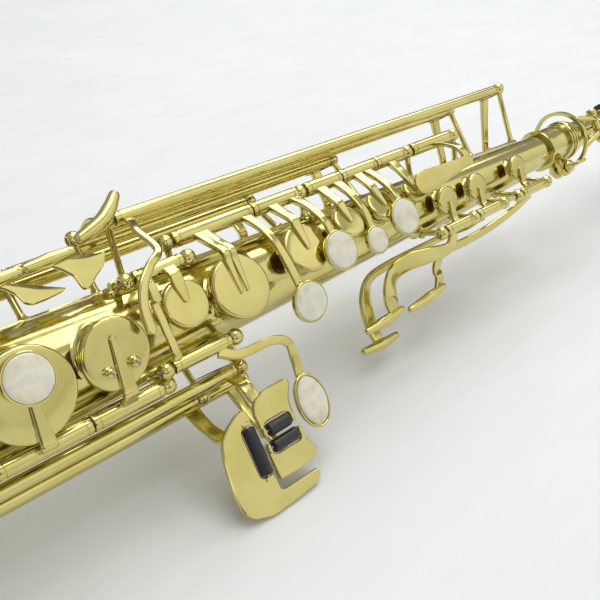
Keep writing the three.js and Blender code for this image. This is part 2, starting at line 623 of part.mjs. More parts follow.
function neckScrew() {
  const axis = (z) => point(SCREW.x, SCREW.s, z);
  const wing = solid(new THREE.BoxGeometry(1.8, 9, 7).translate(SCREW.x, SCREW.s, 9.6));
  return join(stick(axis(-6), axis(7), 1.4), stick(axis(4.2), axis(6.4), 2.8, 10), wing);
}

const OCTAVE_PIVOT = { s: 607, z: 11.6 };
const NECK_VENT = 623;
const RING_S = 590.5;

function neckTube() {
  const tenon = BODY_END + 2;
  const outside = turned([[0, tenon], [TENON_RADIUS, tenon], [TENON_RADIUS, 592 + GAP],
    [8.8, 592 + GAP], [8.8, 597], [bodyRadius(598), 598], [bodyRadius(NECK_TIP), NECK_TIP],
    [0, NECK_TIP]], 16);
  const vent = stick(point(0, NECK_VENT, 2), point(0, NECK_VENT, bodyRadius(NECK_VENT) + 2), 2, 10);
  const posts = [];
  for (const x of [-6.6, 6.6]) {
    const head = point(x, OCTAVE_PIVOT.s, OCTAVE_PIVOT.z);
    posts.push(stick(point(x * 0.8, OCTAVE_PIVOT.s, 4), head, 1.2, 6));
    posts.push(stick(head.clone().setX(x - 1.3), head.clone().setX(x + 1.3), 2.2));
  }
  const pin = stick(point(-6.6, OCTAVE_PIVOT.s, OCTAVE_PIVOT.z),
    point(6.6, OCTAVE_PIVOT.s, OCTAVE_PIVOT.z), 0.8);
  const bore = turned([[0, tenon - 1], [bodyRadius(tenon) - 1.7, tenon - 1],
    [bodyRadius(NECK_TIP) - WALL, NECK_TIP + 1], [0, NECK_TIP + 1]], 16);
  const drill = stick(point(0, NECK_VENT, 0), point(0, NECK_VENT, 12), 0.8);
  return join(outside, vent, posts, pin).subtract(join(bore, drill));
}

function neckOctaveKey() {
  const { s, z } = OCTAVE_PIVOT;
  const ringRadius = 14;
  const ring = sleeve(ringRadius - 0.9, ringRadius + 0.9, RING_S - 1, RING_S + 1, 18);
  const tube = stick(point(-4.9, s, z), point(4.9, s, z), 2.1, 10);
  const parts = [ring, tube];
  for (const side of [-1, 1]) {
    parts.push(strap([point(side * 3.2, s - 0.8, z + 1.6), point(side * 4.6, RING_S + 7, 14.4),
      point(side * 7.4, RING_S, 12)], 2.2, 1.6));
  }
  const top = bodyRadius(NECK_VENT) + 2 + GAP;
  parts.push(stood([[0, 0], [3.6, 0], [3.6, 1.4], [0, 2.4]], point(0, NECK_VENT, top), outward(0), 12));
  parts.push(strap([point(0, s + 1.3, z + 1.5), point(0, s + 6, z + 1.8),
    point(0, NECK_VENT - 1, top + 2)], 3, 1.5));
  const bore = stick(point(-6, s, z), point(6, s, z), 1.25);
  const whole = join(parts).subtract(bore);
  const pivot = new THREE.Group();
  pivot.position.set(0, s, z);
  neck.add(pivot);
  named('neck_octave_key', whole.translate([0, -s, -z]), brass, pivot);
}

named('neck_receiver', neckReceiver(), brass);
const screwPivot = new THREE.Group();
screwPivot.position.set(SCREW.x, SCREW.s, 0);
saxophone.add(screwPivot);
named('neck_screw', neckScrew().translate([-SCREW.x, -SCREW.s, 0]), brass, screwPivot);
named('neck_tube', neckTube(), brass, neck);
neckOctaveKey();

// ---------------------------------------------------------------- mouthpiece
const CORK = [631, 649];
const SHANK = 636;
const MOUTH_TIP = 702;
const TABLE = -6.3;            // flat that the reed lies on

function mouthpiece() {
  const outside = turned([[0, SHANK], [9.8, SHANK], [9.8, SHANK + 4], [8.9, SHANK + 7],
    [8.6, 676], [7.4, MOUTH_TIP], [0, MOUTH_TIP]], 16);
  const bores = join(cylinder(7.7, SHANK - 1, NECK_TIP + 3, 16), cylinder(5.2, SHANK, 684, 12));
  const lay = solid(new THREE.BoxGeometry(30, 60, 10).translate(0, 687, TABLE - 5));
  const window = solid(new THREE.BoxGeometry(7, 24, 8).translate(0, 686, TABLE + 3));
  const beak = bar(point(0, 673, 14), point(0, 706, 1.6), 30, 10.4, point(0, 1, 1));
  return outside.subtract(join(bores, lay, window, beak));
}

function reed() {
  const blank = bar(point(0, 662, TABLE - 1.3), point(0, MOUTH_TIP - 0.4, TABLE - 1.3), 11, 2,
    point(0, 0, 1));
  const vamp = bar(point(0, 672, TABLE - 7.2), point(0, 706, TABLE - 5.3), 20, 9.6, point(0, 0, 1));
  return blank.subtract(vamp);
}

function ligature() {
  const band = sleeve(10.6, 11.3, 665, 679, 16);
  const screws = [668.5, 675.5].map((s) => stick(point(-6.5, s, -12.6), point(6.5, s, -12.6), 1.2));
  const bosses = [668.5, 675.5].map((s) =>
    solid(new THREE.BoxGeometry(7, 4, 4).translate(0, s, -12.2)));
  const inside = cylinder(10.6, 660, 684, 16);
  return join(band, bosses.map((b) => b.subtract(inside)), screws);
}

named('neck_cork', turned([[bodyRadius(CORK[0]) + GAP, CORK[0]], [7, CORK[0]], [7.3, CORK[1]],
  [bodyRadius(CORK[1]) + GAP, CORK[1]], [bodyRadius(CORK[0]) + GAP, CORK[0]]], 16), corkColour, neck);
named('mouthpiece', mouthpiece(), ebonite, neck);
named('reed', reed(), cane, neck);
named('ligature', ligature(), brass, neck);

// ---------------------------------------------------------------- fixtures on the body
// A curved foot plate would follow the tube; these sit a hair above it on flat pads.
const footOn = (angle, s, length, width) => bar(
  around(angle, bodyRadius(s - length / 2) + GAP + 0.7, s - length / 2),
  around(angle, bodyRadius(s + length / 2) + GAP + 0.7, s + length / 2), width, 1.4, outward(angle));

const hookBase = bodyRadius(292) + GAP;
named('thumb_hook', join(footOn(180, 292, 20, 8),
  strap([point(0, 286, -hookBase - 1), point(0, 284, -hookBase - 9), point(4, 284, -hookBase - 15),
    point(14, 285, -hookBase - 17)], 9, 2.2, point(0, 1, 0))), brass);
named('thumb_rest', join(footOn(180, 432, 10, 6),
  stood([[0, 0], [5.2, 0], [5.6, 1.6], [4, 2.6], [0, 3]], around(180, bodyRadius(432) + 1.4, 432),
    outward(180))), ebonite);

function strapRing() {
  const s = 352;
  const base = bodyRadius(s) + GAP;
  const eye = solid(settle(revolve([[4.4, -1.2], [6.8, -1.2], [6.8, 1.2], [4.4, 1.2], [4.4, -1.2]],
    16), point(0, s, -base - 7.6), point(1, 0, 0), point(0, 0, 1)));
  return join(footOn(180, s, 14, 6), eye);
}

named('strap_ring', strapRing(), brass);

// A guard is a strip above the cups, on feet between and beyond them.
function guard(name, angle, height, stations, width) {
  const top = (s) => around(angle, height, s);
  const parts = [bar(top(stations[0]), top(stations[stations.length - 1]), width, 1.6,
    outward(angle))];
  for (const s of stations) {
    parts.push(bar(around(angle, bodyRadius(s) + GAP, s), top(s), 5, 1.8, point(0, 1, 0)));
  }
  return named(name, join(parts), brass);
}

guard('bell_key_guard', 140, 37.4, [58.6, 89.4, 119.6], 8);
guard('low_c_guard', -8, 34, [147.4, 178.6], 8);

// ---------------------------------------------------------------- resting place
// It lies with the bore level, the bell rim on the ground, and the origin under its middle.
saxophone.rotation.y = radians(RESTING_ROLL);
saxophone.updateMatrixWorld(true);
const bounds = new THREE.Box3().setFromObject(saxophone, true);
const middle = bounds.getCenter(point());
saxophone.position.set(-middle.x, -middle.y, -bounds.min.z);

export default saxophone;
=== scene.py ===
import json
import math

import bpy
import numpy as np
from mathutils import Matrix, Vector

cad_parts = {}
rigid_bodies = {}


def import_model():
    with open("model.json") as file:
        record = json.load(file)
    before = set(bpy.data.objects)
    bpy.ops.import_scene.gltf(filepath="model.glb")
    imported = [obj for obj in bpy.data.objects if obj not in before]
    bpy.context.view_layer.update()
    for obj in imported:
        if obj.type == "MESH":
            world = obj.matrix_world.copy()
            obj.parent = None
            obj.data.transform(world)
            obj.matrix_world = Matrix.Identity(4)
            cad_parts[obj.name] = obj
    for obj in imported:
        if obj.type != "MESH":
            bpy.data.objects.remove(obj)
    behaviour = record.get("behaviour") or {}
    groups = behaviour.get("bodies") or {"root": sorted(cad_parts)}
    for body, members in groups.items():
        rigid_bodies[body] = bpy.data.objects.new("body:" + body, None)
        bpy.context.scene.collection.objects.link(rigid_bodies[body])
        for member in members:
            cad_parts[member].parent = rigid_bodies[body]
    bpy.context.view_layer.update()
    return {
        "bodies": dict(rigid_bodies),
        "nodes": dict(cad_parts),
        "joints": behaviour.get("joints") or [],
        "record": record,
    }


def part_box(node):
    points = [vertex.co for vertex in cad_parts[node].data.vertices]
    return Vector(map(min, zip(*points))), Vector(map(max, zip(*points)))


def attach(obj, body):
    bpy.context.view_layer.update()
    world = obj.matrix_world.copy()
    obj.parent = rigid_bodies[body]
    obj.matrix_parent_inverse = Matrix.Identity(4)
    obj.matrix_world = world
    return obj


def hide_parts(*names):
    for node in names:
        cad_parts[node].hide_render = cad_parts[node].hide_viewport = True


# The looks of a straight B flat soprano saxophone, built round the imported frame.
# Shapes are given in millimetres in the instrument's own axes: x to the player's left,
# s along the bore from the bell rim, z to the front. place() takes them to the row frame.
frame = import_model()
JOINTS = {j["name"]: j for j in frame["joints"]}

X_ROW = np.array(JOINTS["neck_octave_hinge"]["axis"])
Y_ROW = np.array([0.0, 1.0, 0.0])
Z_ROW = np.cross(X_ROW, Y_ROW)
AXES = np.array([X_ROW, Y_ROW, Z_ROW])
BORE = JOINTS["neck_turn"]["pos_m"]
ORIGIN = np.array([BORE[0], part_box("bell")[0].y, BORE[2]])


def place(points):
    return ORIGIN + np.asarray(points, float) / 1000 @ AXES


class Line:
    """A hinge line in cross-section, read from a joint of the record."""

    def __init__(self, joint):
        here = AXES @ (np.array(JOINTS[joint]["pos_m"]) - ORIGIN) * 1000
        self.x, self.z = float(here[0]), float(here[2])
        self.r, self.angle = math.hypot(self.x, self.z), math.atan2(self.x, self.z)

    def at(self, s):
        return point(self.x, s, self.z)


def point(x, s, z):
    return np.array([x, s, z], float)


MIDDLE, ACROSS, ALONG, FRONT = point(0, 0, 0), point(1, 0, 0), point(0, 1, 0), point(0, 0, 1)


def unit(v):
    v = np.asarray(v, float)
    return v / np.linalg.norm(v)


NECK_TIP = 650
TIP_WIDTH = 11
TAPER = 0.06


def body_radius(s):
    """Outside radius of the cone that body and neck share."""
    return (TIP_WIDTH + TAPER * (NECK_TIP - s)) / 2


def outward(angle):
    return point(math.sin(math.radians(angle)), 0, math.cos(math.radians(angle)))


def around(angle, r, s):
    return outward(angle) * r + point(0, s, 0)


UPPER, LOWER = Line("g_key_hinge"), Line("f_key_hinge")
G_SHARP, G_SHARP_LEVER = Line("g_sharp_key_hinge"), Line("g_sharp_lever_hinge")
LOW_C_SHARP, LOW_B_FLAT = Line("low_c_sharp_key_hinge"), Line("low_b_flat_key_hinge")
LOW_B, HIGH_F_SHARP = Line("low_b_key_hinge"), Line("high_f_sharp_key_hinge")
HIGH_E, SIDE_C = Line("high_e_key_hinge"), Line("side_c_key_hinge")
SIDE_B_FLAT, PALM = Line("side_b_flat_key_hinge"), Line("palm_d_key_hinge")
PINKY, THUMB = Line("low_c_key_hinge"), Line("octave_thumb_lever_hinge")
BODY_OCTAVE = Line("body_octave_key_hinge")

CHIMNEY = 2.2
GAP = 0.3
CUP_HEIGHT = 3.0
CUP_OVERHANG = 2.2
WALL = 0.9
PEARL_WIDTH = 12.6


class Hole:
    """A tone hole: its place, the angle it faces, its cup's width and how far the cup lifts."""

    def __init__(self, s, angle, cup, lift):
        self.s, self.angle, self.cup, self.lift = s, angle, cup, lift
        self.seat = body_radius(s) + CHIMNEY + GAP
        self.outer = cup / 2 - CUP_OVERHANG


HOLES = {
    "low_b_flat_key": Hole(74, 140, 27, 4),
    "low_b_key": Hole(104.5, 140, 26, 4),
    "low_c_sharp_key": Hole(128, 20, 25, 3.4),
    "low_c_key": Hole(163, -8, 27, 3.6),
    "e_flat_key": Hole(198, -100, 22, 3.2),
    "d_key": Hole(231, 5, 27, 2.8),
    "e_key": Hole(262, 5, 26.6, 2.7),
    "f_key": Hole(294, 7, 26.4, 2.6),
    "f_sharp_key": Hole(320, 6.5, 21.2, 2.5),
    "g_sharp_key": Hole(348, -5, 15.6, 2.6),
    "g_key": Hole(367, 5, 21, 2.5),
    "a_key": Hole(398, -5, 17.4, 2.3),
    "bis_key": Hole(421.5, -14, 12.6, 2.1),
    "b_key": Hole(441, -17, 13.4, 2),
    "c_key": Hole(461, -20, 10.4, 1.8),
    "side_b_flat_key": Hole(398, -150, 14, 2.4),
    "side_c_key": Hole(441, -150, 13, 2.4),
    "palm_d_key": Hole(478, 12, 12, 2.3),
    "palm_e_flat_key": Hole(499, 12, 11.5, 2.2),
    "palm_f_key": Hole(531, 12, 11, 2.1),
    "high_e_key": Hole(514, -150, 11.5, 2.2),
    "high_f_sharp_key": Hole(546, -150, 10.8, 2.1),
    "body_octave_key": Hole(495, -175, 6.8, 1.2),
}

LACQUER, BORE_BRASS, STEEL, PAD, PEARL, BLACK, CORK, FELT, CANE, BLUED = range(10)


# ---------------------------------------------------------------- shapes
class Shape:
    """Closed shells gathered into one mesh, each face with the number of its material."""

    def __init__(self):
        self.points, self.faces, self.looks, self.count = [], [], [], 0

    def add(self, points, faces, look=LACQUER, closed=True):
        points = np.asarray(points, float)
        if closed and volume(points, faces) < 0:
            faces = [f[::-1] for f in faces]
        self.points.append(points)
        self.faces += [[i + self.count for i in f] for f in faces]
        self.looks += [look] * len(faces)
        self.count += len(points)
        return self

    def turn(self, line, angle):
        """Turns all that is in the shape about a hinge line."""
        c, s = math.cos(angle), math.sin(angle)
        for p in self.points:
            x, z = p[:, 0] - line.x, p[:, 2] - line.z
            p[:, 0], p[:, 2] = line.x + x * c + z * s, line.z - x * s + z * c
        return self


def volume(points, faces):
    total = 0.0
    for f in faces:
        a = points[f[0]]
        for i in range(1, len(f) - 1):
            total += float(np.dot(a, np.cross(points[f[i]], points[f[i + 1]])))
    return total


def frame_about(axis):
    a = unit(axis)
    ref = ALONG if abs(a[1]) < 0.9 else ACROSS
    u = unit(np.cross(ref, a))
    return a, u, np.cross(a, u)


def lathe(shape, profile, sides, origin, axis, look=LACQUER, stretch=(1, 1)):
    """A round shell from (radius, height) points; radius 0 makes a pole."""
    a, u, v = frame_about(axis)
    looped = profile[0] == profile[-1]
    rings, points = [], []
    for r, h in profile[:-1] if looped else profile:
        if r < 1e-6:
            rings.append([len(points)])
            points.append(origin + a * h)
            continue
        rings.append(list(range(len(points), len(points) + sides)))
        for k in range(sides):
            t = 2 * math.pi * k / sides
            points.append(origin + a * h + (u * math.cos(t) * stretch[0]
                                            + v * math.sin(t) * stretch[1]) * r)
    faces = []
    pairs = list(zip(rings, rings[1:])) + ([(rings[-1], rings[0])] if looped else [])
    for lower, upper in pairs:
        for k in range(sides):
            n = (k + 1) % sides
            if len(lower) == 1 and len(upper) == 1:
                continue
            if len(lower) == 1:
                faces.append([lower[0], upper[k], upper[n]])
            elif len(upper) == 1:
                faces.append([lower[k], upper[0], lower[n]])
            else:
                faces.append([lower[k], upper[k], upper[n], lower[n]])
    if not looped:
        for ring in (rings[0], rings[-1]):
            if len(ring) > 1:
                faces.append(ring if ring is rings[0] else ring[::-1])
    return shape.add(points, faces, look)


def bore_ring(shape, profile, sides, look=LACQUER):
    """A ring about the bore, from a profile that closes on itself."""
    lathe(shape, profile + [profile[0]], sides, MIDDLE, ALONG, look)


def curve(points, steps):
    """A smooth line through the given points, with `steps` steps between two of them."""
    points = [np.asarray(p, float) for p in points]
    if len(points) == 2 or steps == 1:
        return np.array(points if steps == 1 else [points[0] + (points[1] - points[0]) * k / steps
                                                   for k in range(steps + 1)])
    ends = [2 * points[0] - points[1]] + points + [2 * points[-1] - points[-2]]
    out = []
    for i in range(1, len(ends) - 2):
        a, b, c, d = ends[i - 1 : i + 3]
        for k in range(steps):
            t = k / steps
            out.append(0.5 * (2 * b + (c - a) * t + (2 * a - 5 * b + 4 * c - d) * t * t
                              + (3 * b - a - 3 * c + d) * t ** 3))
    return np.array(out + [points[-1]])


def section(width, thickness, crown, corner):
    """A rounded rectangle across a strip: points (across, up), bent up by `crown` at the edges."""
    a, b = width / 2, thickness / 2
    c = min(corner, a * 0.98, b * 0.9)
    points = []
    flat, side = a - c, b - c
    for cx, cz, start in ((flat, side, 0), (-flat, side, 90), (-flat, -side, 180), (flat, -side, 270)):
        for k in range(4):
            t = math.radians(start + k * 30)
            points.append([cx + c * math.cos(t), cz + c * math.sin(t)])
        if start in (0, 180):
            sign = 1 if start == 0 else -1
            for share in (0.5, 0, -0.5):
                points.append([sign * share * flat, sign * b])
    points = np.array(points)
    points[:, 1] -= crown * (points[:, 0] / max(a, 1e-6)) ** 2
    return points


CLOSEST_RINGS = 0.04
NARROWEST_END = 0.5
CORNER_STEPS = 5


def spread(value, at, count):
    """A value given once or at each of `count` points, read off at the places `at`."""
    values = value if hasattr(value, "__len__") else [value] * count
    return np.interp(at, range(count), [float(v) for v in values])


def ribbon(shape, points, width, thickness, facing, steps, ends, crown=0.0, look=LACQUER, corner=0.45):
    """A strip along a smooth line. Width, thickness and facing may be given at each point;
    `ends` says how far each end is rounded, from 0 to 1."""
    count = len(points)
    line = curve(points, steps)
    at = np.linspace(0, count - 1, len(line))
    widths, thick = spread(width, at, count), spread(thickness, at, count)
    facing = np.asarray(facing, float)
    if facing.ndim == 1:
        facing = np.tile(facing, (count, 1))
    face = np.array([[np.interp(a, range(count), facing[:, k]) for k in range(3)] for a in at])
    length = np.concatenate([[0], np.cumsum(np.linalg.norm(np.diff(line, axis=0), axis=1))])
    keep = list(length)
    rounding = [widths[-side] / 2 * min(ends[side], 1) for side in (0, 1)]
    for side, radius in enumerate(rounding):
        if not radius:
            continue
        for k in range(7):
            d = radius * (1 - math.cos(math.radians(k * 15)))
            keep.append(d if side == 0 else length[-1] - d)
    keep = sorted(set(round(k, 4) for k in keep if 0 <= k <= length[-1] + 1e-9))
    lens = []
    for d in keep:
        if lens and d - lens[-1] < CLOSEST_RINGS and d != keep[-1]:
            continue
        lens.append(d)
    pos = np.array([[np.interp(d, length, line[:, k]) for k in range(3)] for d in lens])
    tang = np.gradient(pos, axis=0)
    rings, all_points = [], []
    for i, d in enumerate(lens):
        w, t = float(np.interp(d, length, widths)), float(np.interp(d, length, thick))
        for side, radius in enumerate(rounding):
            away = d if side == 0 else length[-1] - d
            if radius and away < radius:
                inset = radius - math.sqrt(max(radius ** 2 - (radius - away) ** 2, 0))
                w = max(w - 2 * inset, NARROWEST_END)
        f = np.array([np.interp(d, length, face[:, k]) for k in range(3)])
        along = unit(tang[i])
        up = unit(f - along * np.dot(f, along))
        across = np.cross(along, up)
        sec = section(w, t, crown, corner)
        rings.append(range(len(all_points), len(all_points) + len(sec)))
        all_points += [pos[i] + across * p[0] + up * p[1] for p in sec]
    return shape.add(all_points, skin(rings), look)


def skin(rings):
    """The faces of a closed shell through rings of equal size."""
    n = len(rings[0])
    faces = [list(rings[0]), list(rings[-1])[::-1]]
    for lower, upper in zip(rings, rings[1:]):
        for k in range(n):
            m = (k + 1) % n
            faces.append([lower[m], lower[k], upper[k], upper[m]])
    return faces


def rod(shape, points, radius, sides, steps=6, look=LACQUER, ends="round"):
    """A round wire or rod along a smooth line, its radius given once or at each point."""
    count = len(points)
    line = curve(points, steps if count > 2 else 1)
    at = np.linspace(0, count - 1, len(line))
    radii = spread(radius, at, count)
    tang = [unit(t) for t in np.gradient(line, axis=0)]
    if ends == "round":
        caps = []
        for side, i in ((-1, 0), (1, -1)):
            caps.append([(line[i] + tang[i] * side * radii[i] * math.sin(t) * 0.8,
                          radii[i] * math.cos(t), tang[i])
                         for t in (math.radians(30), math.radians(60), math.radians(82))])
        stations = caps[0][::-1] + list(zip(line, radii, tang)) + caps[1]
    else:
        stations = list(zip(line, radii, tang))
    ref = frame_about(stations[0][2])[1]
    rings, all_points = [], []
    for p, r, t in stations:
        u = unit(ref - t * np.dot(ref, t))
        v = np.cross(t, u)
        ref = u
        rings.append(range(len(all_points), len(all_points) + sides))
        all_points += [p + (u * math.cos(2 * math.pi * k / sides)
                            + v * math.sin(2 * math.pi * k / sides)) * r for k in range(sides)]
    return shape.add(all_points, skin(rings), look)


def rounded(outline, radius):
    """An outline in a plane with each corner rounded, as far as its sides allow."""
    out = []
    n = len(outline)
    for i in range(n):
        a, b, c = (np.array(outline[(i + k) % n], float) for k in (-1, 0, 1))
        ab, bc = np.linalg.norm(b - a), np.linalg.norm(c - b)
        u, v = (a - b) / ab, (c - b) / bc
        d = min(radius, ab * 0.45, bc * 0.45)
        for k in range(CORNER_STEPS + 1):
            t = k / CORNER_STEPS
            out.append((1 - t) ** 2 * (b + u * d) + 2 * t * (1 - t) * b + t * t * (b + v * d))
    return np.array(out)


def plate(shape, outline, z, thickness, radius, bevel, look=LACQUER, frame=None):
    """A flat plate with rounded corners and edges. Its outline lies in x and s, or in the
    first two directions of `frame`, which is (origin, first, second, normal)."""
    flat = rounded(outline, radius)
    origin, first, second, normal = frame or (MIDDLE, ACROSS, ALONG, FRONT)
    before, after = np.roll(flat, 1, 0), np.roll(flat, -1, 0)
    tangent = after - before
    area = np.sum(flat[:, 0] * after[:, 1] - flat[:, 1] * after[:, 0])
    inward = np.stack([-tangent[:, 1], tangent[:, 0]], 1) * (1 if area > 0 else -1)
    inward /= np.maximum(np.linalg.norm(inward, axis=1)[:, None], 1e-9)
    b = min(bevel, thickness * 0.45)
    layers = [(b, 0), (b * 0.3, b * 0.3), (0, b), (0, thickness - b), (b * 0.3, thickness - b * 0.3),
              (b, thickness)]
    rings, points = [], []
    for inset, h in layers:
        ring = flat + inward * inset
        rings.append(range(len(points), len(points) + len(ring)))
        points += [origin + first * p[0] + second * p[1] + normal * (z + h) for p in ring]
    return shape.add(points, skin(rings), look)


def block(shape, centre, size, bevel, radius, look=LACQUER):
    """A box with rounded edges, its size given along x, s and z."""
    a, b = size[0] / 2, size[1] / 2
    return plate(shape, [[-a, -b], [a, -b], [a, b], [-a, b]], -size[2] / 2, size[2], radius, bevel,
                 look, (centre, ACROSS, ALONG, FRONT))


def screw_head(shape, centre, axis, radius, slot):
    """A cheese head with a driver slot: two halves on a disc."""
    a, u, v = frame_about(axis)
    turned = math.cos(slot) * u + math.sin(slot) * v
    across = np.cross(a, turned)
    lathe(shape, [(0, -0.5), (radius, -0.5), (radius, -0.25), (0, -0.25)], 24, centre, a, STEEL)
    for side in (-1, 1):
        half = []
        for k in range(9):
            t = math.radians(-80 + k * 20)
            half.append([radius * 0.97 * math.sin(t),
                         side * (0.18 * radius + (radius * 0.79) * math.cos(t))])
        plate(shape, half, -0.3, 0.3, 0.05, 0.08, STEEL, (centre, turned, across, a))


# ---------------------------------------------------------------- materials
def shader(name, base, metallic, roughness, **sockets):
    material = bpy.data.materials.new(name)
    material.use_nodes = True
    node = material.node_tree.nodes["Principled BSDF"]
    node.inputs["Base Color"].default_value = (*base, 1)
    node.inputs["Metallic"].default_value = metallic
    node.inputs["Roughness"].default_value = roughness
    for key, value in sockets.items():
        node.inputs[key.replace("_", " ")].default_value = value
    return material, material.node_tree, node


def noise(tree, scale, detail, stretch=(1, 1, 1), rough=0.55):
    """Noise over the object's own coordinates, in features per metre."""
    where = tree.nodes.new("ShaderNodeTexCoord")
    shift = tree.nodes.new("ShaderNodeMapping")
    shift.inputs["Scale"].default_value = stretch
    made = tree.nodes.new("ShaderNodeTexNoise")
    made.inputs["Scale"].default_value = scale
    made.inputs["Detail"].default_value = detail
    made.inputs["Roughness"].default_value = rough
    tree.links.new(where.outputs["Object"], shift.inputs["Vector"])
    tree.links.new(shift.outputs["Vector"], made.inputs["Vector"])
    return made.outputs["Fac"]


def ramp(tree, value, stops, smooth=False):
    node = tree.nodes.new("ShaderNodeValToRGB")
    if smooth:
        node.color_ramp.interpolation = "EASE"
    elements = node.color_ramp.elements
    while len(elements) < len(stops):
        elements.new(0.5)
    for element, (at, colour) in zip(elements, stops):
        element.position = at
        element.color = (*colour, 1) if hasattr(colour, "__len__") else (colour, colour, colour, 1)
    tree.links.new(value, node.inputs["Fac"])
    return node.outputs["Color"]


def levels(tree, value, low, high, start=0.3, end=0.7):
    node = tree.nodes.new("ShaderNodeMapRange")
    node.inputs["From Min"].default_value = start
    node.inputs["From Max"].default_value = end
    node.inputs["To Min"].default_value = low
    node.inputs["To Max"].default_value = high
    tree.links.new(value, node.inputs["Value"])
    return node.outputs["Result"]


def paint(tree, node, value, stops, smooth=False):
    tree.links.new(ramp(tree, value, stops, smooth), node.inputs["Base Color"])


def polish(tree, node, value, *limits):
    """Lets a value vary the roughness between the two limits given first."""
    tree.links.new(levels(tree, value, *limits), node.inputs["Roughness"])


def bump(tree, node, height, strength, distance):
    made = tree.nodes.new("ShaderNodeBump")
    made.inputs["Strength"].default_value = strength
    made.inputs["Distance"].default_value = distance
    tree.links.new(height, made.inputs["Height"])
    tree.links.new(made.outputs["Normal"], node.inputs["Normal"])


def added(tree, a, b, share):
    node = tree.nodes.new("ShaderNodeMath")
    node.operation = "MULTIPLY_ADD"
    node.inputs[1].default_value = share
    tree.links.new(b, node.inputs[0])
    tree.links.new(a, node.inputs[2])
    return node.outputs["Value"]


def lacquered_brass(name, light, deep, rough):
    material, tree, node = shader(name, light, 1.0, rough, Coat_Weight=0.35, Coat_Roughness=0.04,
                                  Coat_IOR=1.45)
    broad = noise(tree, 70, 3)
    paint(tree, node, broad, [(0.3, deep), (0.62, light)])
    fine = noise(tree, 700, 4, (1, 0.5, 1))
    mixed = added(tree, noise(tree, 160, 4), fine, 0.35)
    polish(tree, node, mixed, rough * 0.8, rough * 1.4, 0.5, 0.85)
    bump(tree, node, added(tree, noise(tree, 120, 2), fine, 0.02), 0.1, 0.0001)
    return material


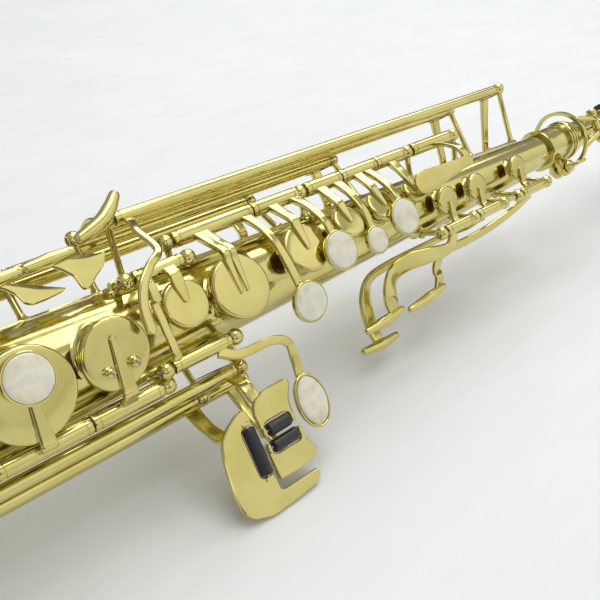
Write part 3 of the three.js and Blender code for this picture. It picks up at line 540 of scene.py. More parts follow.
def make_materials():
    made = {}
    made[LACQUER] = lacquered_brass("lacquered_brass", (0.69, 0.61, 0.23), (0.61, 0.525, 0.165), 0.13)
    made[BORE_BRASS] = lacquered_brass("bore_brass", (0.42, 0.33, 0.11), (0.30, 0.21, 0.06), 0.34)

    steel, tree, node = shader("polished_steel", (0.72, 0.66, 0.52), 1.0, 0.22)
    lines = noise(tree, 1500, 3, (1, 0.05, 1))
    paint(tree, node, lines, [(0.35, (0.60, 0.53, 0.38)), (0.65, (0.78, 0.72, 0.56))])
    polish(tree, node, lines, 0.16, 0.32)
    bump(tree, node, lines, 0.1, 0.00005)
    made[STEEL] = steel

    pad, tree, node = shader("pad_leather", (0.16, 0.07, 0.035), 0.0, 0.55, Specular_IOR_Level=0.4)
    grain = noise(tree, 1800, 6)
    paint(tree, node, noise(tree, 350, 4), [(0.3, (0.10, 0.045, 0.022)), (0.7, (0.23, 0.10, 0.05))])
    polish(tree, node, grain, 0.42, 0.7)
    bump(tree, node, grain, 0.45, 0.00025)
    made[PAD] = pad

    pearl, tree, node = shader("mother_of_pearl", (0.80, 0.76, 0.63), 0.0, 0.16, Coat_Weight=0.9,
                               Coat_Roughness=0.03, Subsurface_Weight=0.04, Subsurface_Scale=0.002)
    node.inputs["Subsurface Radius"].default_value = (1, 0.8, 0.6)
    swirl = noise(tree, 150, 3, (1, 2.2, 1))
    bands = tree.nodes.new("ShaderNodeTexWave")
    bands.inputs["Scale"].default_value = 55
    bands.inputs["Distortion"].default_value = 6
    bands.inputs["Detail"].default_value = 2
    where = tree.nodes.new("ShaderNodeTexCoord")
    tree.links.new(where.outputs["Object"], bands.inputs["Vector"])
    both = added(tree, swirl, bands.outputs["Fac"], 0.4)
    paint(tree, node, both, [(0.35, (0.66, 0.60, 0.42)), (0.55, (0.76, 0.72, 0.53)),
                             (0.75, (0.80, 0.78, 0.61)), (0.9, (0.72, 0.71, 0.60))], True)
    polish(tree, node, swirl, 0.12, 0.24)
    bump(tree, node, both, 0.03, 0.0002)
    made[PEARL] = pearl

    black, tree, node = shader("black_roller", (0.012, 0.012, 0.013), 0.0, 0.34, Coat_Weight=0.15,
                               Coat_Roughness=0.25)
    dust = noise(tree, 1400, 5)
    paint(tree, node, dust, [(0.45, (0.010, 0.010, 0.011)), (0.75, (0.030, 0.029, 0.028))])
    polish(tree, node, noise(tree, 300, 4), 0.28, 0.44)
    bump(tree, node, dust, 0.06, 0.00008)
    made[BLACK] = black

    cork, tree, node = shader("cork", (0.56, 0.36, 0.19), 0.0, 0.85)
    cells = tree.nodes.new("ShaderNodeTexVoronoi")
    cells.inputs["Scale"].default_value = 900
    where = tree.nodes.new("ShaderNodeTexCoord")
    tree.links.new(where.outputs["Object"], cells.inputs["Vector"])
    mixed = added(tree, noise(tree, 500, 6), cells.outputs["Distance"], 0.4)
    paint(tree, node, mixed, [(0.4, (0.24, 0.13, 0.06)), (0.55, (0.52, 0.33, 0.17)),
                              (0.9, (0.70, 0.49, 0.28))])
    polish(tree, node, mixed, 0.7, 0.95)
    bump(tree, node, mixed, 0.5, 0.0003)
    made[CORK] = cork

    felt, tree, node = shader("felt", (0.30, 0.05, 0.04), 0.0, 0.95, Sheen_Weight=0.6, Sheen_Roughness=0.5)
    fibres = noise(tree, 2600, 8, (1, 1, 1), 0.7)
    paint(tree, node, fibres, [(0.3, (0.20, 0.03, 0.025)), (0.7, (0.42, 0.08, 0.06))])
    polish(tree, node, fibres, 0.85, 1.0)
    bump(tree, node, fibres, 0.7, 0.0004)
    made[FELT] = felt

    cane, tree, node = shader("cane", (0.80, 0.66, 0.38), 0.0, 0.5)
    fibres = noise(tree, 1300, 4, (1, 0.03, 1))
    paint(tree, node, fibres, [(0.3, (0.62, 0.46, 0.22)), (0.6, (0.84, 0.70, 0.42))])
    polish(tree, node, fibres, 0.4, 0.62)
    bump(tree, node, fibres, 0.3, 0.0001)
    made[CANE] = cane

    blued, tree, node = shader("blued_spring_steel", (0.07, 0.08, 0.13), 1.0, 0.25)
    lines = noise(tree, 2000, 3, (1, 0.1, 1))
    paint(tree, node, lines, [(0.3, (0.05, 0.06, 0.11)), (0.7, (0.13, 0.13, 0.18))])
    polish(tree, node, lines, 0.2, 0.4)
    made[BLUED] = blued
    return made


MATERIALS = make_materials()


def emit(name, shape, body, stands_for=(), sharp=32):
    """Makes a Blender object of a shape, in the row frame, riding on a CAD body."""
    mesh = bpy.data.meshes.new(name)
    mesh.from_pydata(place(np.concatenate(shape.points)).tolist(), [], shape.faces)
    looks = sorted(set(shape.looks))
    for look in looks:
        mesh.materials.append(MATERIALS[look])
    number = {look: i for i, look in enumerate(looks)}
    mesh.polygons.foreach_set("material_index", [number[look] for look in shape.looks])
    mesh.polygons.foreach_set("use_smooth", [len(face) < 7 for face in shape.faces])
    mesh.update()
    mark_sharp(mesh, math.radians(sharp))
    obj = bpy.data.objects.new(name, mesh)
    bpy.context.scene.collection.objects.link(obj)
    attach(obj, body)
    if stands_for:
        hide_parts(*stands_for)


def mark_sharp(mesh, limit):
    """Marks the edges whose faces meet at more than `limit`."""
    normals = np.zeros(len(mesh.polygons) * 3)
    mesh.polygons.foreach_get("normal", normals)
    normals = normals.reshape(-1, 3)
    edge_of_loop = np.zeros(len(mesh.loops), int)
    mesh.loops.foreach_get("edge_index", edge_of_loop)
    sizes = np.zeros(len(mesh.polygons), int)
    mesh.polygons.foreach_get("loop_total", sizes)
    face_of_loop = np.repeat(np.arange(len(mesh.polygons)), sizes)
    order = np.argsort(edge_of_loop, kind="stable")
    edges, faces = edge_of_loop[order], face_of_loop[order]
    sharp = np.zeros(len(mesh.edges), bool)
    same = edges[1:] == edges[:-1]
    first, second = faces[:-1][same], faces[1:][same]
    dot = np.sum(normals[first] * normals[second], axis=1)
    sharp[edges[1:][same]] = dot < math.cos(limit)
    attribute = mesh.attributes.get("sharp_edge") or mesh.attributes.new("sharp_edge", "BOOLEAN", "EDGE")
    attribute.data.foreach_set("value", sharp)


# ---------------------------------------------------------------- body tube
def on_body(u, v, hole):
    """Height of the tube's surface above the bore, along a tone hole's axis."""
    return np.sqrt(np.maximum(body_radius(hole.s + v) ** 2 - u ** 2, 0.01))


def body_tube():
    start, end = 50, 575
    rings, sides = 440, 120
    s = np.linspace(start, end, rings)
    t = np.linspace(0, 2 * math.pi, sides, endpoint=False)
    grid_s, grid_t = np.meshgrid(s, t, indexing="ij")
    centre_s = (s[:-1] + s[1:])[:, None] / 2
    centre_t = t[None, :] + math.pi / sides
    keep = np.ones((rings - 1, sides), bool)
    for hole in HOLES.values():
        angle = math.radians(hole.angle)
        r = body_radius(centre_s)
        u = r * np.sin(centre_t - angle)
        inside = (np.cos(centre_t - angle) > 0) & (u ** 2
                                                   + (centre_s - hole.s) ** 2 < (hole.outer
                                                                                 + 0.25) ** 2)
        keep &= ~inside
    shape = Shape()
    for radius_drop, flip, look in ((0, False, LACQUER), (WALL, True, BORE_BRASS)):
        r = body_radius(grid_s) - radius_drop
        points = np.stack([r * np.sin(grid_t), grid_s, r * np.cos(grid_t)], -1).reshape(-1, 3)
        faces = []
        for i, k in zip(*np.nonzero(keep)):
            n = (k + 1) % sides
            f = [i * sides + k, i * sides + n, (i + 1) * sides + n, (i + 1) * sides + k]
            faces.append([int(x) for x in (f[::-1] if flip else f)])
        shape.add(points, faces, look, closed=False)
    for s0, out in ((start, -1), (end, 1)):
        outer, inner = body_radius(s0), body_radius(s0) - WALL
        lathe(shape, [(inner, 0), (outer, 0), (outer, 0.05 * out), (inner, 0.05 * out), (inner, 0)],
              sides, point(0, s0, 0), ALONG)
    for hole in HOLES.values():
        chimney(shape, hole)
    return shape


def chimney(shape, hole):
    """A tone hole rim drawn up from the tube, with a soft fillet at its foot."""
    outer, inner = hole.outer, max(hole.outer - WALL, 0.6)
    top = body_radius(hole.s) + CHIMNEY
    fillet = min(1.5, 0.35 * outer + 0.5)
    up, side = outward(hole.angle), outward(hole.angle + 90)
    sides = 64 if outer > 5 else 40
    stations = [(inner, None, -1.0), (inner, top - 0.3, 0), (inner + 0.1, top - 0.1, 0),
                (inner + 0.3, top, 0), (outer - 0.3, top, 0), (outer - 0.08, top - 0.1, 0),
                (outer, top - 0.3, 0)]
    for k in range(7):
        a = math.radians(k * 15)
        stations.append((outer + fillet * (1 - math.cos(a)), None, fillet * (1 - math.sin(a))))
    stations.append((outer + fillet + 0.3, None, -0.12))
    points, rings = [], []
    for r, height, above in stations:
        rings.append(range(len(points), len(points) + sides))
        for k in range(sides):
            t = 2 * math.pi * k / sides
            u, v = r * math.cos(t), r * math.sin(t)
            h = height if height is not None else float(on_body(u, v, hole)) + above
            h = min(h, top) if r >= outer else h
            points.append(up * h + side * u + point(0, hole.s + v, 0))
    faces = []
    for lower, upper in zip(rings, rings[1:]):
        for k in range(sides):
            n = (k + 1) % sides
            faces.append([lower[n], lower[k], upper[k], upper[n]])
    middle = faces[3 * sides + 1]
    a, b, c = (points[i] for i in middle[:3])
    if np.dot(np.cross(b - a, c - a), up) < 0:
        faces = [f[::-1] for f in faces]
    shape.add(points, faces, LACQUER, closed=False)


emit("body_tube_look", body_tube(), "saxophone", ["body_tube"], 40)


# ---------------------------------------------------------------- bell
def bell():
    flare = [(46.3, 3), (43.2, 5.2), (39.8, 9), (37, 13), (33, 20), (28.8, 30), (25.9, 40), (24.6, 46)]
    outside = curve([point(r, s, 0) for r, s in flare], 6)
    outer = [(float(p[0]), float(p[1])) for p in outside]
    inner = [(r - WALL, s + 0.25) for r, s in outer[::-1]]
    bead = [(45.1 + 1.35 * math.cos(a), 1.4 + 1.35 * math.sin(a))
            for a in np.radians(np.arange(150, -181, -22))]
    shape = Shape()
    lathe(shape, bead[::-1] + [bead[-1]], 128, MIDDLE, ALONG)
    top = 49.7
    sleeve = [(body_radius(top) + 0.3, top), (body_radius(top) - WALL, top)]
    profile = [(44.2, 1.6)] + outer[1:] + sleeve + inner[:-1]
    bore_ring(shape, profile, 128)
    ring = []
    for r, s in ((0.2, 45.6), (1.5, 45.9), (1.9, 46.4), (1.9, 47.4), (1.5, 47.9), (1.0, 48.2),
                 (1.0, 54.8), (1.5, 55.1), (1.9, 55.6), (1.9, 56.2), (1.6, 56.8), (0.15, 57)):
        ring.append((body_radius(s) + r, s))
    bore_ring(shape, ring, 128)
    return shape


emit("bell_look", bell(), "saxophone", ["bell"])


# ---------------------------------------------------------------- ribs, posts and rods
def post(shape, foot, head, along=ALONG):
    """A turned post with a flared foot, and a ball head bored for the rod's screw."""
    reach = np.linalg.norm(head - foot)
    lathe(shape, [(0, -0.3), (2.5, -0.3), (2.5, 0.35), (2.2, 0.6), (1.7, 0.9), (1.45, 1.5), (1.25, 2.4),
                  (1.15, max(reach * 0.5, 2.6)), (1.2, reach - 2.6), (1.5, reach - 2.1),
                  (1.5, reach - 1.2), (0, reach - 1.0)], 20, foot, head - foot)
    profile = [(0, -1.25), (1.15, -1.25), (1.2, -1.9), (1.35, -2.05)]
    for a in np.radians(np.arange(-48, 49, 8)):
        profile.append((2.75 * math.cos(a), 2.75 * math.sin(a)))
    profile += [(1.35, 2.05), (1.2, 1.9), (1.15, 1.25), (0, 1.25)]
    lathe(shape, profile, 28, head, along)
    for side in (-1, 1):
        screw_head(shape, head + along * 1.62 * side, along * side, 1.02, 0.6 + head[1])


def spring(shape, line, s, reach):
    """A needle spring from the post at s toward its key's tube."""
    head = line.at(s)
    away = unit(point(line.x, 0, line.z))
    start = head - away * 1.9
    end = head + point(0, reach * 0.75, 0) - away * 2.8
    rod(shape, [start, (start + end) / 2 - away * 0.2, end], [0.27, 0.22, 0.14], 8, 6, BLUED)


def post_row(name, angle, s0, s1, rows):
    shape = Shape()
    up = outward(angle)
    under = [around(angle, body_radius(s) + 0.55, s) for s in (s0, (s0 + s1) / 2, s1)]
    ribbon(shape, under, 4.6, 1.9, up, 12, (1, 1), 0, LACQUER, 0.5)
    for line, stations in rows:
        for s in stations:
            post(shape, around(angle, body_radius(s) + 1.45, s), line.at(s))
        rod(shape, [line.at(stations[0]), line.at(stations[-1])], 1.0, 12, 1, STEEL, "flat")
    emit(name + "_look", shape, "saxophone", [name])


post_row("upper_stack_rib", -62, 330, 506, [(G_SHARP, [334.2, 356.5]), (UPPER, [355, 413, 472.5, 503])])
post_row("lower_stack_rib", 62, 213, 362, [(LOWER, [215.5, 278, 333.6]), (G_SHARP_LEVER, [333.8, 359.8])])
post_row("side_key_rib", -112, 283, 560, [(HIGH_F_SHARP, [343.5, 557.5]), (HIGH_E, [333.5, 525.5]),
                                          (SIDE_C, [309.5, 451.5]), (SIDE_B_FLAT, [285.5, 408.5])])
post_row("left_key_rib", 98, 63, 371, [(LOW_C_SHARP, [118.5, 362.5]), (LOW_B_FLAT, [65.5, 348.5]),
                                       (LOW_B, [94.5, 368.5])])
post_row("palm_key_rib", 62, 464, 546, [(PALM, [466.5, 488, 509.5, 520.5, 543.5])])
post_row("octave_rib", 158, 445, 566, [(THUMB, [447.5, 563.5]), (BODY_OCTAVE, [483.5, 506.5])])
post_row("right_pinky_rib", -60, 150, 216, [(PINKY, [152.5, 213.5])])


# ---------------------------------------------------------------- keys
def lifting(line, hole):
    return hole.lift / (line.r * math.sin(line.angle - math.radians(hole.angle)))


def cup(shape, hole):
    r, up = hole.cup / 2, outward(hole.angle)
    origin = around(hole.angle, hole.seat, hole.s)
    profile = [(0, 1.3), (r - 0.7, 1.3), (r - 0.55, 0.35), (r - 0.35, 0.2), (r - 0.1, 0.25), (r, 0.5),
               (r, 1.9), (r - 0.09, 2.25), (r - 0.3, 2.58), (r - 0.62, 2.8), (r - 1.05, 2.9),
               (r * 0.55, 2.95), (0, 2.96)]
    lathe(shape, profile, 72 if r > 8 else 48, origin, up)


def pad(hole):
    """The leather pad under a cup, with its dome resonator."""
    shape = Shape()
    r = hole.cup / 2 - 0.75
    up = outward(hole.angle)
    origin = around(hole.angle, hole.seat, hole.s)
    profile = [(0, 1.25), (r, 1.25), (r + 0.05, 0.6), (r - 0.1, 0.2), (r - 0.45, -0.08), (r - 0.9, -0.22)]
    seat_ring = hole.outer - 0.45
    if seat_ring > 1.2:
        profile += [(seat_ring + 0.5, -0.26), (seat_ring, -0.24), (seat_ring - 0.6, -0.3)]
    profile += [(r * 0.3, -0.3), (0, -0.3)]
    profile = [p for i, p in enumerate(profile) if i < 6 or p[0] < r - 0.9]
    lathe(shape, profile, 48, origin, up, PAD)
    if hole.cup > 9:
        d = hole.outer * 0.5
        lathe(shape, [(0, -0.2), (d, -0.28), (d, -0.5), (d * 0.85, -0.62), (d * 0.5, -0.78),
                      (d * 0.15, -0.85), (0, -0.86)], 32, origin, up, STEEL)
    return shape


def cup_arm(shape, line, hole, s=None, width=4.0, thickness=1.7, past=0.0):
    """An arm that leaves a hinge tube, rises over the cup's edge and lies on its top."""
    s = hole.s if s is None else s
    up = outward(hole.angle)
    top = around(hole.angle, hole.seat + CUP_HEIGHT, s)
    hinge = line.at(s)
    aside = hinge - top
    aside = aside - up * np.dot(aside, up)
    aside[1] = 0
    reach = min(hole.cup / 2 + 1.4, np.linalg.norm(aside) - 1)
    away = unit(aside)
    knee = top + away * reach + up * 0.55
    start = hinge + unit(knee - hinge) * 1.2
    inner = top + away * (reach - 3.2) + up * 0.35
    end = top - away * past + up * 0.1
    between = start * 0.45 + knee * 0.55 + up * 0.15
    ribbon(shape, [start, between, knee, inner, end], [width + 1.2, width + 0.5, width + 0.2, width,
                                                       width * 0.5],
           [2.4, thickness, thickness, thickness, thickness * 0.75], up, 7, (0, 1), 0, LACQUER, 0.5)
    return away


def tube(shape, line, s0, s1, radius=2.3):
    """A hinge tube with turned ends, open round its rod."""
    profile = [(1.15, 0.1), (radius - 0.5, 0), (radius - 0.1, 0.15), (radius, 0.5)]
    if s1 - s0 > 12:
        profile += [(radius, 1.6), (radius - 0.22, 1.75), (radius - 0.22, 2.05), (radius, 2.2)]
    length = s1 - s0
    profile = profile + [(r, length - h) for r, h in profile[::-1]]
    lathe(shape, profile + [profile[0]], 28, line.at(s0), ALONG)


def dish(shape, centre, facing, diameter, stretch=(1, 1)):
    """The ring and floor that hold a pearl."""
    r = diameter / 2
    profile = [(0, -0.1), (r * 0.55, -0.1), (r + 0.45, 0.25), (r + 0.8, 0.7), (r + 0.9, 1.4),
               (r + 0.82, 2.0), (r + 0.68, 2.15), (r + 0.42, 2.15), (r + 0.3, 2.0), (r + 0.28, 0.9),
               (0, 0.9)]
    lathe(shape, profile, 56, centre, facing, LACQUER, stretch)


def pearl(name, centre, facing, diameter, body, stretch=(1, 1)):
    """A domed pearl, a little wider than its dish's seat."""
    r = diameter / 2 + 0.22
    shape = Shape()
    profile = [(0, 0.95), (r - 0.1, 0.95), (r, 1.1), (r, 2.1), (r - 0.12, 2.3), (r - 0.4, 2.48),
               (r * 0.85, 2.62), (r * 0.65, 2.78), (r * 0.45, 2.88), (r * 0.22, 2.94), (0, 2.96)]
    lathe(shape, profile, 64, centre, facing, PEARL, stretch)
    emit(name + "_look", shape, body, [name], 30)


def finish_key(name, shape, hole, open_angle, line):
    """Emits a key and, as a piece of its own, the pad of its cup."""
    emit(name + "_look", shape, name, [name])
    if hole is not None:
        under = pad(hole)
        under.turn(line, open_angle)
        emit(name + "_pad", under, name)


def stack_key(name, line, span, pearl_at=None, radius=2.7, past=0.0):
    hole = HOLES[name]
    angle = lifting(line, hole)
    shape = Shape()
    cup(shape, hole)
    width = 4.4 if hole.cup > 18 else 3.6
    if name == "g_key":
        for shift in (-1.25, 1.25):
            cup_arm(shape, line, hole, hole.s + shift, 2.5, 1.8, 2.2)
    else:
        away = cup_arm(shape, line, hole, None, width, 1.7, past + 1.2)
    if name == "f_sharp_key":
        up = outward(hole.angle)
        for s in (hole.s - 4, hole.s + 4):
            seat = around(hole.angle, hole.seat + CUP_HEIGHT, s) + away * 4
            lathe(shape, [(0, -0.2), (1.7, -0.2), (1.7, 0.3), (1.4, 0.6), (1.4, 1.7), (1.1, 2.0),
                          (0, 2.0)], 24, seat, up)
            screw_head(shape, seat + up * 2.25, up, 1.0, 0.7)
    shape.turn(line, angle)
    tube(shape, line, *span, radius)
    if pearl_at:
        centre, tilt, arm, diameter, pearl_name = pearl_at
        facing = outward(tilt)
        dish(shape, centre, facing, diameter)
        if arm:
            root = line.at(arm)
            above = around(-24, centre[2] + 1, arm)
            start = root + unit(above - root) * 1.3
            mid = above * 0.55 + centre * 0.45 + point(0, 0, 1.0)
            ribbon(shape, [start, (start + above) / 2 + point(-0.6, 0, 0.6), above, mid, centre
                           + facing * 0.1], [4.6, 3.5, 3.1, 3.1, 3.4], [2.2, 1.7, 1.6, 1.6, 1.4], FRONT,
                   7, (0, 1), 0, LACQUER, 0.55)
        else:
            lathe(shape, [(0, -3.4), (2.6, -3.4), (2.6, -2.6), (2.1, -2.0), (2.1, -0.9), (3.2, -0.2),
                          (3.2, 0.2), (0, 0.2)], 32, centre, facing)
        pearl(pearl_name, centre, facing, diameter, name)
    finish_key(name, shape, hole, angle, line)


stack_key("g_key", UPPER, (357.4, 389.5), (point(14, 388, 21.5), 12, 386, PEARL_WIDTH, "g_pearl"))
stack_key("a_key", UPPER, (389.9, 410.6), (point(3, 408, 22.5), 3, 408, PEARL_WIDTH, "a_pearl"))
stack_key("bis_key", UPPER, (415.4, 433), (point(5.2, 428.6, 19), 6, 430, 9, "bis_pearl"))
stack_key("b_key", UPPER, (433.4, 452.4), (point(1.6, 444.6, 20.6), 4, 446.5, PEARL_WIDTH, "b_pearl"))
stack_key("c_key", UPPER, (452.8, 470))
for note, span in (("d", (217.9, 246.3)), ("e", (246.7, 275.6)), ("f", (280.4, 307.8))):
    h = HOLES[note + "_key"]
    crown = body_radius(h.s) + CHIMNEY + CUP_HEIGHT + h.lift + 1.6
    stack_key(note + "_key", LOWER, span, (point(-0.4, h.s + 0.5, crown), 2, 0, PEARL_WIDTH, note
                                           + "_pearl"))
stack_key("f_sharp_key", LOWER, (308.2, 331.2), None, 2.7, 4.5)


# ---------------------------------------------------------------- G sharp
def g_sharp():
    hole = HOLES["g_sharp_key"]
    shape = Shape()
    cup(shape, hole)
    cup_arm(shape, G_SHARP, hole)
    tube(shape, G_SHARP, 336.6, 354.1)
    ribbon(shape, [point(G_SHARP.x + 0.6, 338.1, G_SHARP.z + 1.4), point(-12.6, 338.1, 21.4),
                   point(-9.5, 338.1, 22.3), point(-5, 338.1, 22.2)], 3, 1.5, point(0.3, 0, 1), 6,
           (0, 1))
    block(shape, point(-7, 338.1, 21.25), (3.2, 2.6, 0.5), 0.15, 0.4, CORK)
    finish_key("g_sharp_key", shape, hole, 0, G_SHARP)

    lever = Shape()
    line = G_SHARP_LEVER
    tube(lever, line, 336.2, 357.4)
    ribbon(lever, [point(line.x - 1.2, 338.1, line.z + 0.9), point(10.6, 338.1, 19.6),
                   point(2, 338.1, 19.7), point(-6.5, 338.1, 19.7)], [3.2, 2.6, 2.6, 2.6], 1.4, FRONT,
           6, (0, 1))
    touch = point(44.2, 376.4, 16.2)
    ribbon(lever, [point(16.1, 352, 17.6), point(19.6, 358, 18.8), point(20.4, 370.6, 19),
                   point(23.6, 376.4, 18.4), point(30, 377.4, 16.6), point(39, 376.6, 15.7)],
           [4, 3.2, 3, 3.2, 3.4, 3.6], [1.8, 1.7, 1.6, 1.6, 1.6, 1.4], FRONT, 7, (0, 1), 0, LACQUER,
           0.6)
    dish(lever, touch, FRONT, 10.9, (1.5, 1))
    pearl("g_sharp_pearl", touch, FRONT, 10.5, "g_sharp_lever", (1.5, 1))
    finish_key("g_sharp_lever", lever, None, 0, line)


g_sharp()

# ---------------------------------------------------------------- left little finger table
TABLE_Z = 15.6
# Each roller: its centre, its length, and whether it lies along the bore.
UPPER_ROLLER = (point(45.4, 361.4, TABLE_Z + 1.4), 9, True)
SHORT_ROLLER = (point(50.7, 361.4, TABLE_Z + 1.4), 10.4, True)
LONG_ROLLER = (point(49.3, 350.6, TABLE_Z + 1.4), 15.8, False)


def roller(name, centre, length, lengthwise):
    """A black roller with softly rounded ends, on its steel pin."""
    shape = Shape()
    a, h = 2.2, length / 2
    profile = [(0.75, -h), (a - 0.7, -h), (a - 0.25, -h + 0.18), (a - 0.04, -h + 0.55), (a, -h + 1.0),
               (a, h - 1.0), (a - 0.04, h - 0.55), (a - 0.25, h - 0.18), (a - 0.7, h), (0.75, h)]
    lathe(shape, profile + [profile[0]], 40, centre, ALONG if lengthwise else ACROSS, BLACK)
    emit(name + "_look", shape, name, [name], 45)


def roller_mount(shape, centre, length, lengthwise):
    along = ALONG if lengthwise else ACROSS
    ends = [centre + along * side * (length / 2 + 1.3) for side in (-1, 1)]
    for i, p in enumerate(ends):
        size = (3.2, 1.4, 3.5) if lengthwise else (1.4, 3.2, 3.5)
        block(shape, p - FRONT, size, 0.35, 0.5)
        screw_head(shape, p + along * (0.72 if i else -0.72), along * (1 if i else -1), 0.75, 0.4)
    rod(shape, ends, 0.62, 12, 1, STEEL, "flat")


def table_key(name, line, span, rest_parts, open_angle):
    hole = HOLES[name]
    shape = Shape()
    cup(shape, hole)
    cup_arm(shape, line, hole)
    top = around(hole.angle, hole.seat + CUP_HEIGHT, hole.s)
    lathe(shape, [(0, -0.4), (2.9, -0.4), (2.9, 0.3), (2.5, 0.65), (0, 0.7)], 36, top, outward(hole.angle))
    shape.turn(line, open_angle)
    tube(shape, line, *span)
    rest_parts(shape)
    finish_key(name, shape, hole, open_angle, line)


def low_c_sharp(shape):
    plate(shape, [[33.2, 370.4], [33.2, 362], [34.8, 356.6], [38, 354.6], [46.8, 354.6], [46.8, 356.3],
                  [42.8, 356.3], [42.8, 366.5], [46.8, 366.5], [46.8, 368.2], [40.4, 368.4],
                  [37, 370.4], [34.6, 371.8]], TABLE_Z, 1.7, 1.8, 0.5)
    ribbon(shape, [point(26.1, 358, 8.5), point(30, 358, 13.5), point(36, 358, 16)], [5, 4.4, 4.4], 1.6,
           point(-0.6, 0, 1), 6, (0, 1))
    roller_mount(shape, *UPPER_ROLLER)


def low_b(shape):
    plate(shape, [[49.2, 353.9], [61, 353.9], [61.4, 362], [60.8, 369.6], [58, 371.4], [54.6, 369.1],
                  [49.2, 369.1], [49.2, 367.3], [53.4, 367.3], [53.4, 355.7], [49.2, 355.7]], TABLE_Z,
          1.7, 1.5, 0.45)
    ribbon(shape, [point(LOW_B.x + 1.4, 363, LOW_B.z + 0.4), point(39, 363, -1.6), point(48, 363, 4.6),
                   point(55, 363, 12), point(59, 363, TABLE_Z + 0.3)], [4.6, 3.6, 3.6, 3.8, 4.4],
           [2, 1.6, 1.6, 1.6, 1.4], point(-0.6, 0, 1), 6, (0, 1))
    roller_mount(shape, *SHORT_ROLLER)


def low_b_flat(shape):
    plate(shape, [[35.4, 352.8], [35.8, 349], [38.4, 343.8], [41.4, 340.4], [47, 338.6], [56, 337.4],
                  [63.4, 337.6], [67, 340], [69.4, 347], [69.2, 358], [68.4, 366.2], [66.4, 368.8],
                  [64.2, 368.4], [64.2, 352.8], [57.6, 352.8], [57.6, 348], [41, 348], [41, 352.8]],
          TABLE_Z, 1.7, 2.0, 0.5)
    ribbon(shape, [point(30.4, 342.8, 1.9), point(37, 342.8, 8), point(42, 342.8, 16)], [5.4, 4.6, 5],
           1.6, point(-0.7, 0, 0.7), 6, (0, 1))
    roller_mount(shape, *LONG_ROLLER)


table_key("low_c_sharp_key", LOW_C_SHARP, (121, 360), low_c_sharp, 0)
table_key("low_b_key", LOW_B, (97, 366), low_b, lifting(LOW_B, HOLES["low_b_key"]))
table_key("low_b_flat_key", LOW_B_FLAT, (68, 346), low_b_flat, lifting(LOW_B_FLAT, HOLES["low_b_flat_key"]))
roller("upper_roller", *UPPER_ROLLER)
roller("short_roller", *SHORT_ROLLER)
roller("long_roller", *LONG_ROLLER)

# ---------------------------------------------------------------- right little finger keys
PINKY_Z = 25.4


def pinky_key(name, span, touch, open_angle, roller_name=None):
    s0, s1 = touch
    centre = point(-4, s0 - 2.8, PINKY_Z + 1.2)

    def parts(shape):
        middle = (s0 + s1) / 2
        plate(shape, [[-13, s0], [2.2, s0], [4, s0 + 2], [4, s1 - 2], [2.2, s1], [-13, s1]], PINKY_Z,
              1.7, 1.6, 0.45)
        ribbon(shape, [point(PINKY.x + 0.6, middle, PINKY.z + 1.3), point(-18, middle, 21.5),
                       point(-15.4, middle, 25), point(-10.5, middle, PINKY_Z + 0.6)],
               [5, 4.4, 4.4, 4.8], 1.6, point(-0.3, 0, 1), 6, (0, 1))
        if roller_name:
            for x in (-9.3, 1.3):
                block(shape, point(x, s0 - 1.6, PINKY_Z + 0.8), (1.7, 5, 1.6), 0.3, 0.3)
            roller_mount(shape, centre, 8, False)

    table_key(name, PINKY, span, parts, open_angle)
    if roller_name:
        roller(roller_name, centre, 8, False)


pinky_key("e_flat_key", (190.8, 211), (203, 211), 0, "e_flat_roller")
pinky_key("low_c_key", (155, 190.4), (180.6, 194.6), lifting(PINKY, HOLES["low_c_key"]))


# ---------------------------------------------------------------- right side keys
def side_key(name, line, span, parts):
    hole = HOLES[name]
    shape = Shape()
    cup(shape, hole)
    cup_arm(shape, line, hole, None, 3.4)
    tube(shape, line, *span)
    parts(shape)
    finish_key(name, shape, hole, 0, line)


def high_f_sharp(shape):
    ribbon(shape, [point(-33.6, 350, 2.4), point(-30.6, 347.4, 10), point(-27.2, 344.8, 15.6),
                   point(-19.4, 344.6, 23), point(-15.6, 338.6, 26.2), point(-11.2, 333.6, 27.6),
                   point(-5, 330.8, 27.8), point(2.6, 330, 27.8)],
           [3.2, 2.8, 2.6, 2.6, 2.8, 3.0, 3.2, 3.4], 1.7, [(-1, 0, 0.3), (-1, 0, 0.4), (-0.8, 0, 0.7),
                                                           (-0.2, 0, 1), (0, 0, 1), (0, 0, 1),
                                                           (0, 0, 1), (0, 0, 1)], 7, (0, 1), 0, LACQUER,
           0.75)


def high_e(shape):
    ribbon(shape, [point(-35.2, 338.4, -3.4), point(-36.8, 338.4, 2), point(-35.4, 338.6, 8.4)],
           [5.2, 4, 3.8], 1.8, ACROSS, 6, (0, 1), 0, LACQUER, 0.6)
    rod(shape, [point(-40.8, 345.8, 9.2), point(-37.4, 342.4, 9.4), point(-34.5, 338.4, 9.5),
                point(-32.8, 333.8, 9.3), point(-31.5, 329.2, 9)], [1.8, 2.3, 2.5, 2.3, 1.8], 24)


def side_c(shape):
    ribbon(shape, [point(-31.4, 319, -8.6), point(-30.8, 319, -2), point(-30.2, 319, 5),
                   point(-30, 319, 8)], 7, 1.5, ACROSS, 6, (0, 0), 0, LACQUER, 0.5)
    plate(shape, [[-30.4, 315.6], [-27.4, 317.6], [-25.2, 320.8], [-21.8, 323.7], [-19.1, 324.1],
                  [-17, 325], [-17.2, 327], [-19.6, 330], [-21.8, 333.6], [-25.9, 336], [-25.9, 330.2],
                  [-27, 325.4], [-30.4, 322.6]], 7.2, 1.6, 1.0, 0.4)
    rod(shape, [point(-28.6, 311, 9.6), point(-28.8, 318.4, 9.7), point(-28.9, 325.4, 9.6)],
        [1.7, 2.1, 1.7], 22)


